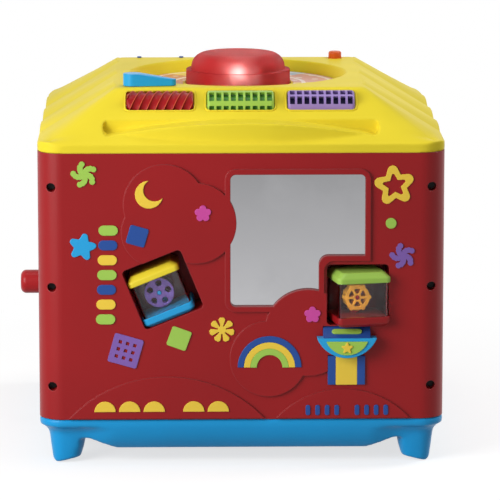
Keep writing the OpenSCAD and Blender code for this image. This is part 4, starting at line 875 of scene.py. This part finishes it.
class CUBE_OT_works(bpy.types.Operator):
    """Dress the screws, springs, boards and other inner parts"""

    bl_idname = "cube.works"
    bl_label = "Inner parts"

    def execute(self, context):
        soften("panel_screws", 0, moulded("blackened_steel", SCREW_BLACK, rough=0.5))
        metal = steel("zinc_steel")
        for node in ("roof_screws", "base_screws", "mirror_screws", "door_screw", "roller_axles",
                     "paddle_pin", "click_leaf"):
            soften(node, 0, metal)
        self.coil("dome_coil", "dome_spring", "dome_press", metal)
        self.coil("button_coil", "button_spring", "button_press", metal)
        black = moulded("black_plastic", PLASTIC_BLACK, rough=0.45)
        for node in ("battery_tray", "button_plug", "power_slider", "speaker"):
            soften(node, sizes().small_edge, black)
        board = moulded("board_green", BOARD_GREEN, rough=0.35)
        for node in ("main_board", "lamp_board"):
            soften(node, 0, board)
        soften("batteries", 0, moulded("cell_wrap", CELL_GREY, rough=0.25))
        soften("speaker_cone", 0, moulded("paper_cone", CONE_GREY, rough=0.8, grain=0.3))
        return {"FINISHED"}

    def coil(self, name, node, joint, finish):
        """A steel spring in place of its CAD node; its button's travel is read, but the spring is not shortened."""
        low, high = corners(node)
        tall = high.z - low.z
        joints = frame["record"]["behaviour"]["joints"]
        travel = max(row["range_m"][1] for row in joints if row["name"] == joint)
        spring = new_piece(name, frame["nodes"][node].data.copy(), "shell", "steel", finish, node)
        (tall - travel - SPRING_SLACK) / tall
        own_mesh(spring)


class CUBE_OT_stage(bpy.types.Operator):
    """Set the floor, the lamps and the camera"""

    bl_idname = "cube.stage"
    bl_label = "Stage"

    # Each lamp's place and the width of its panel
    LAMPS = {"key": ((-1.0, -1.0, 0.62), 0.9), "fill": ((1.2, 0.25, 1.5), 0.6), "top": ((0.0, -0.2, 2.2), 0.4)}
    LAMP_AIM = Vector((0.0, 0.0, 0.2))
    CAMERA_AIM = Vector((0.0117, 0.0, 0.1714))
    SENSOR = 36.0
    FAR = 100.0
    FLOOR_HALF = 12.0
    FLOOR_GREYS = ((0.36, 0.36, 0.36), (0.38, 0.38, 0.38))
    FLOOR_GLOW = 0.70
    FADE = (0.28, 0.62)     # where the floor begins and ends to turn plain white

    def execute(self, context):
        stage = context.scene.cube_stage
        self.floor()
        self.sky(context.scene, stage.sky)
        for name, (place, size) in self.LAMPS.items():
            self.lamp(name + "_lamp", place, size, getattr(stage, name))
        self.camera(context.scene, stage)
        context.scene.view_settings.view_transform = "Standard"
        return {"FINISHED"}

    def floor(self):
        """A pale floor that fades to plain white away from the cube."""
        f = Finish("floor_white")
        speck = f.noise(scale=40.0, detail=3.0)
        away = f.vector("LENGTH", f.place(), out="Value").clamped(*self.FADE)
        paint = f.node("ShaderNodeBsdfDiffuse", None, {"Color": f.mix(speck, *self.FLOOR_GREYS)})
        glow = f.node("ShaderNodeEmission", None, {"Color": WHITE, "Strength": self.FLOOR_GLOW})
        lit = f.node("ShaderNodeAddShader", None, {0: paint, 1: glow})
        plain = f.node("ShaderNodeEmission", None, {"Color": WHITE, "Strength": 1.0})
        shown = f.node("ShaderNodeMixShader", None, {0: away, 1: lit, 2: plain})
        f.show(f.node("ShaderNodeMixShader", None, {0: seen_rays(f), 1: paint, 2: shown}))
        half = self.FLOOR_HALF
        mesh = bpy.data.meshes.new("floor")
        places = [(-half, -half, 0), (half, -half, 0), (half, half, 0), (-half, half, 0)]
        mesh.from_pydata(places, [], [(0, 1, 2, 3)])
        floor = bpy.data.objects.new("floor", mesh)
        bpy.context.scene.collection.objects.link(floor)
        mesh.materials.append(f.owner)

    def sky(self, scene, strength):
        """An even light from all round that itself shows as plain white."""
        f = Finish("studio", world=True)
        level = strength + seen_rays(f) * (1.0 - strength)
        f.show(f.node("ShaderNodeBackground", None, {"Color": WHITE, "Strength": level}))
        scene.world = f.owner

    def lamp(self, name, place, size, power):
        """A square panel lamp that points at the cube."""
        data = bpy.data.lights.new(name, "AREA")
        data.energy = power
        data.size = size
        lamp = bpy.data.objects.new(name, data)
        lamp.location = place
        lamp.rotation_euler = (self.LAMP_AIM - Vector(place)).to_track_quat("-Z", "Y").to_euler()
        bpy.context.scene.collection.objects.link(lamp)

    def camera(self, scene, stage):
        """The camera, at the photograph's viewing angle."""
        flat = math.cos(stage.elevation)
        back = Vector((math.sin(stage.azimuth) * flat, -math.cos(stage.azimuth) * flat,
                       math.sin(stage.elevation)))
        data = bpy.data.cameras.new("camera")
        data.lens = stage.lens
        data.sensor_width = self.SENSOR
        data.clip_end = self.FAR
        camera = bpy.data.objects.new("camera", data)
        camera.location = self.CAMERA_AIM + back * stage.distance
        camera.rotation_euler = (-back).to_track_quat("-Z", "Y").to_euler()
        scene.collection.objects.link(camera)
        scene.camera = camera


STEPS = (CUBE_OT_walls, CUBE_OT_roof, CUBE_OT_base, CUBE_OT_figures, CUBE_OT_mirror, CUBE_OT_blocks,
         CUBE_OT_rollers, CUBE_OT_dome, CUBE_OT_controls, CUBE_OT_works, CUBE_OT_stage)


class CUBE_PT_panel(bpy.types.Panel):
    """Steps that dress the activity cube"""

    bl_idname = "CUBE_PT_panel"
    bl_label = "Activity cube"
    bl_space_type = "VIEW_3D"
    bl_region_type = "UI"
    bl_category = "Cube"

    def draw(self, context):
        for step in STEPS:
            self.layout.operator(step.bl_idname)
        for group in (context.scene.cube_colours, context.scene.cube_sizes, context.scene.cube_stage):
            for name in group.__annotations__:
                self.layout.prop(group, name)


GROUPS = {"cube_colours": CubeColours, "cube_sizes": CubeSizes, "cube_stage": CubeStage}


def register():
    for cls in (*GROUPS.values(), *STEPS, CUBE_PT_panel):
        bpy.utils.register_class(cls)
    for name, group in GROUPS.items():
        setattr(bpy.types.Scene, name, PointerProperty(type=group))


def unregister():
    for name in GROUPS:
        delattr(bpy.types.Scene, name)
    for cls in (CUBE_PT_panel, *reversed(STEPS), *GROUPS.values()):
        bpy.utils.unregister_class(cls)


def main():
    register()
    for step in STEPS:
        group, name = step.bl_idname.split(".")
        getattr(getattr(bpy.ops, group), name)()


if __name__ == "__main__":
    main()
